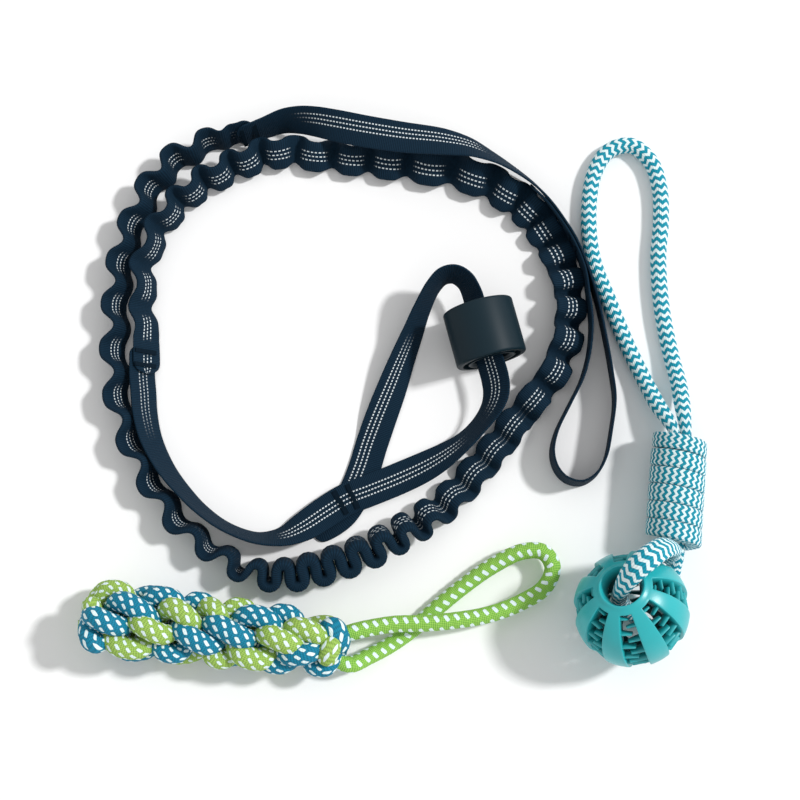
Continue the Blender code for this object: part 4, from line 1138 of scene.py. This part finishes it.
class DOGTOY_OT_treat_ball(bpy.types.Operator):
    """Mould the hollow ball with its slots and teeth"""
    bl_idname = "dogtoy.treat_ball"
    bl_label = "Treat ball"

    def execute(self, context):
        settings = context.scene.dogtoy_ball
        bm = ball_shell(settings)
        add_teeth(bm, settings)
        middle = JOINTS["ball_spin"]["pos_m"]
        stand(bm, "ball_spin", middle)
        piece = bmesh_piece("ball_body", bm, BALL_SHARP)
        outer = settings.diameter / 2
        # The ball's inside is painted darker as painted shade
        hollow = (middle, outer - settings.wall, outer - TOOTH_SINK)
        rubber = moulded_rubber("moulded_thermoplastic_rubber", settings.rubber, 0.33, 0.82, 0.5, hollow)
        wear(piece, rubber, "ball", "ball_rubber", "treat_ball")
        return {"FINISHED"}


def ball_shell(settings):
    """Spin the shell between its two lipped holes, cut the slots and wall them."""
    outer = settings.diameter / 2
    inner = outer - settings.wall
    lip = math.asin(settings.hole / settings.diameter)
    slot_span = math.pi - 2 * BALL_SLOT_START
    crown = [lip + (BALL_SLOT_START - lip) * share for share in BALL_CROWN_SHARES]
    polar = crown + [BALL_SLOT_START + slot_span * n / BALL_POLAR_STEPS for n in range(BALL_POLAR_STEPS + 1)]
    polar += [math.pi - a for a in reversed(crown)]
    lips = list(BALL_LIP_HEIGHTS)
    rises = lips + [0] * (BALL_POLAR_STEPS + 1) + lips[::-1]
    profile = [((outer + rise) * math.sin(a), (outer + rise) * math.cos(a)) for a, rise in zip(polar, rises)]
    profile += [(inner * math.sin(a), inner * math.cos(a)) for a in reversed(polar)]
    bm = spun(profile, settings.slots * BALL_CELLS_PER_SLOT * 2)
    slot = TURN / settings.slots / 2

    def in_slot(face):
        spot = face.calc_center_median()
        polar_angle = math.atan2(math.hypot(spot.x, spot.y), spot.z)
        return (math.atan2(spot.y, spot.x) % (2 * slot) < slot
                and BALL_SLOT_START < polar_angle < math.pi - BALL_SLOT_START)

    bmesh.ops.delete(bm, geom=[face for face in bm.faces if in_slot(face)], context="FACES")
    rims = {}
    for edge in bm.edges:
        if edge.is_boundary:
            middle = (edge.verts[0].co + edge.verts[1].co) / 2
            turn = math.atan2(middle.y, middle.x) % TURN
            rims.setdefault(int((turn + slot / 2) / (2 * slot)) % settings.slots, []).append(edge)
    for edges in rims.values():
        bmesh.ops.bridge_loops(bm, edges=edges)
    bmesh.ops.recalc_face_normals(bm, faces=bm.faces)
    corners = [edge for edge in bm.edges if edge.calc_face_angle(0) > math.radians(BALL_SHARP)]
    bmesh.ops.bevel(bm, geom=corners, affect="EDGES", offset=LIP_ROUND / 2, segments=2, profile=0.5,
                    material=-1, clamp_overlap=True)
    return bm


def add_teeth(bm, settings):
    """Stand a row of slim fins, as deep as the wall, on both sides of each slot, in turn."""
    half_deep = (settings.wall - TOOTH_SINK) / 2
    middle_radius = settings.diameter / 2 - TOOTH_SINK - half_deep
    deepen = Matrix.Diagonal((1, half_deep / TOOTH_RADIUS, 1, 1))
    slot = TURN / settings.slots / 2
    cells = TEETH_PER_SIDE * 2
    step = (math.pi - 2 * BALL_SLOT_START) / cells
    for number in range(settings.slots):
        for cell in range(cells):
            polar = BALL_SLOT_START + step * (cell + 0.5)
            ring = middle_radius * math.sin(polar)
            gap = slot * ring
            length = gap * (TOOTH_REACH_SHARE if cell < TEETH_PER_SIDE else TOOTH_FAR_SHARE)
            side = 1 if cell % 2 else -1
            start = 2 * slot * number + (slot if side > 0 else 0)
            place = Vector((ring * math.cos(start), ring * math.sin(start), middle_radius * math.cos(polar)))
            toward = Vector((-math.sin(start), math.cos(start), 0)) * -side
            outward = place.normalized()
            turn = Matrix((outward.cross(toward), outward, toward)).transposed().to_4x4()
            centre = place + toward * (length / 2 - TOOTH_RADIUS)
            made = bmesh.ops.create_cone(bm, cap_ends=True, segments=16, radius1=TOOTH_RADIUS,
                                         radius2=TOOTH_RADIUS * TOOTH_TIP_SHARE, depth=length + TOOTH_RADIUS,
                                         matrix=Matrix.Translation(centre) @ turn @ deepen)
            tips = {edge for vert in made["verts"] for edge in vert.link_edges
                    if len(edge.link_faces) == 2 and edge.calc_face_angle(0) > math.radians(TOOTH_SHARP)}
            bmesh.ops.bevel(bm, geom=list(tips), affect="EDGES", offset=TOOTH_RADIUS * TOOTH_TIP_SHARE,
                            segments=3, profile=0.5, material=-1, clamp_overlap=True)


class DOGTOY_OT_tug(bpy.types.Operator):
    """Plait the tug and run its hand loop"""
    bl_idname = "dogtoy.tug"
    bl_label = "Braided tug"

    def execute(self, context):
        tug, rope = context.scene.dogtoy_tug, context.scene.dogtoy_rope
        around = math.pi * tug.strand / MM / STRAND_FLECK_ROWS
        for index, (name, colour) in enumerate((("green", tug.green), ("teal", tug.teal))):
            # Each strand's ground is painted darker in its yarn hollows as painted shade
            strand = flecked_braid(f"{name}_flecked_strand", colour, shaded(colour, STRAND_SHADE), rope.white,
                                   tug.fleck, around, *STRAND_FLECK)
            wear(plaits(f"{name}_plaits", tug, index), strand, "tug", "tug_rope", "braided_tug")
        around = math.pi * rope.thickness / MM / ROPE_FLECK_ROWS
        relief = fleck_relief(rope.fleck, around, ROPE_FLECK_RISE)
        route = in_metres(TUG_LOOP_HIDDEN[:1] + TUG_LOOP_ROUTE + TUG_LOOP_HIDDEN[1:])
        piece, path = rope_skin("tug_loop_braid", route, rope.thickness, relief)
        braid = flecked_braid("green_flecked_rope", rope.green, rope.green_painted_shade, rope.white, rope.fleck,
                              around, *ROPE_FLECK)
        wear(piece, braid, "tug", "green_rope", "tug_hand_loop")
        return {"FINISHED"}


def tug_profile(length, strand):
    """Place along the axis and distance from it of the plaits' middle lines, from pole to pole."""
    quarter = np.linspace(0, TURN / 4, TUG_END_STEPS)
    ease = TUG_END_LENGTH * (1 - np.cos(quarter))
    left, right = (TUG_DIAMETER - strand) / 2, (TUG_RIGHT_DIAMETER - strand) / 2
    first = np.stack([strand / 2 + ease, left * np.sin(quarter)], axis=1)
    last = np.stack([length - strand / 2 - ease, right * np.sin(quarter)], axis=1)
    return np.vstack([first, last[::-1]])


def plait_list(tug, length):
    """Every plait: those seen in the photo, and regular ones over the underside."""
    found = [(place * MM, math.radians(angle), math.radians(slant), half * MM + BULGE_REACH, thick, colour)
             for place, angle, slant, half, thick, colour in TUG_BULGES]
    for column in range(tug.columns):
        for number in PLAIT_NUMBERS:
            centre = PLAIT_START + tug.pitch * (number + PLAIT_STEP_SHARE * column)
            angle = TUG_FIRST_COLUMN + TURN * column / tug.columns + TUG_TWIST * centre / length
            if math.sin(angle) < UNDERSIDE_BELOW:
                found.append((centre, angle, PLAIT_SLANT, PLAIT_HALF_LENGTH, 1, (number + column) % 2))
    return found


def plait_line(plait, profile, meridian, frame_of_tug):
    """Points of one plait: a strand that rises over the tug and dips at both ends, or none."""
    left, axis, side, up = frame_of_tug
    centre, angle, slant, half, thick = plait[:5]
    beyond = min(0, centre - profile[0, 0]) + max(0, centre - profile[-1, 0])
    middle = np.interp(centre, profile[:, 0], meridian) + beyond
    rows = []
    for share in np.linspace(-1, 1, PLAIT_ROWS):
        spot = middle + share * half * math.cos(slant)
        if not MM < spot < meridian[-1] - MM:
            continue
        place, radius = (np.interp(spot, meridian, profile[:, c]) for c in (0, 1))
        swing = share * half * math.sin(slant) / PLAIT_SWING_RADIUS
        radius = max(radius - PLAIT_DIP * abs(share) ** PLAIT_DIP_POWER, MM)
        outward = side * math.cos(angle + swing) + up * math.sin(angle + swing)
        rows.append((*(left + axis * place + outward * radius), thick - PLAIT_TAPER_SHARE * share ** 4))
    return np.array(rows)


def plaits(name, tug, parity):
    """Skin every plait of one colour."""
    left = in_row((*TUG_LEFT, TUG_DIAMETER / 2))
    right = in_row((*TUG_RIGHT, TUG_RIGHT_DIAMETER / 2))
    length = (right - left).length
    axis = (right - left).normalized()
    side = Vector((0, 0, 1)).cross(axis).normalized()
    profile = tug_profile(length, tug.strand)
    meridian = run_lengths(profile)
    frame_of_tug = (left, axis, side, axis.cross(side))
    meshes = [plait_line(plait, profile, meridian, frame_of_tug)
              for plait in plait_list(tug, length) if plait[5] == parity]
    meshes = [rows for rows in meshes if len(rows) >= PLAIT_LEAST_ROWS]
    parts = []
    around = math.pi * tug.strand / MM / STRAND_FLECK_ROWS
    relief = fleck_relief(tug.fleck, around, STRAND_FLECK_RISE)
    for number, rows in enumerate(meshes):
        dense = smooth_curve(rows)
        reach = run_lengths(dense)
        samples = read_at(dense, reach, np.linspace(0, reach[-1], PLAIT_STATIONS))
        points = samples[:, :3]
        angle, spoke = round_spokes(points, PLAIT_COLUMNS)
        across = angle / TURN * math.pi * tug.strand
        along = run_lengths(points) + number * tug.fleck * PLAIT_SHIFT_SHARE
        grown = samples[:, 3, None] * tug.strand / 2 + relief(across[None] / MM, along[:, None] / MM)
        places = points[:, None] + spoke * grown[..., None]
        places[..., 2] = np.maximum(places[..., 2], 0)
        parts.append(bend_grid(f"{name}_{number}", places, across[None], along))
    context = bpy.context.copy()
    context.update(active_object=parts[0], selected_editable_objects=parts, object=parts[0])
    with bpy.context.temp_override(**context):
        bpy.ops.object.join()
    parts[0].name = name
    return parts[0]


class DOGTOY_PT_sidebar(bpy.types.Panel):
    """Lists the toy's pieces and their settings"""
    bl_idname = "DOGTOY_PT_sidebar"
    bl_label = "Dog Toy"
    bl_space_type = "VIEW_3D"
    bl_region_type = "UI"
    bl_category = "Dog Toy"

    def draw(self, context):
        for group in SETTINGS:
            box = self.layout.box()
            for name in SETTINGS[group].__annotations__:
                box.prop(getattr(context.scene, group), name)
        for operator in OPERATORS:
            self.layout.operator(operator.bl_idname)


SETTINGS = {
    "dogtoy_stage": StageSettings,
    "dogtoy_leash": LeashSettings,
    "dogtoy_rope": RopeSettings,
    "dogtoy_ball": BallSettings,
    "dogtoy_tug": TugSettings,
}
OPERATORS = (DOGTOY_OT_stage, DOGTOY_OT_straps, DOGTOY_OT_bungee, DOGTOY_OT_knotted_rope, DOGTOY_OT_tug,
             DOGTOY_OT_treat_ball, DOGTOY_OT_stopper, DOGTOY_OT_tacks)


def register():
    for kind in (*SETTINGS.values(), *OPERATORS, DOGTOY_PT_sidebar):
        bpy.utils.register_class(kind)
    for name, kind in SETTINGS.items():
        setattr(bpy.types.Scene, name, bpy.props.PointerProperty(type=kind))


def unregister():
    for name in SETTINGS:
        delattr(bpy.types.Scene, name)
    for kind in (DOGTOY_PT_sidebar, *reversed(OPERATORS), *reversed(list(SETTINGS.values()))):
        bpy.utils.unregister_class(kind)


def main():
    register()
    bpy.ops.dogtoy.stage()
    bpy.ops.dogtoy.straps()
    bpy.ops.dogtoy.bungee()
    bpy.ops.dogtoy.knotted_rope()
    bpy.ops.dogtoy.tug()
    bpy.ops.dogtoy.treat_ball()
    bpy.ops.dogtoy.stopper()
    bpy.ops.dogtoy.tacks()


if __name__ == "__main__":
    main()
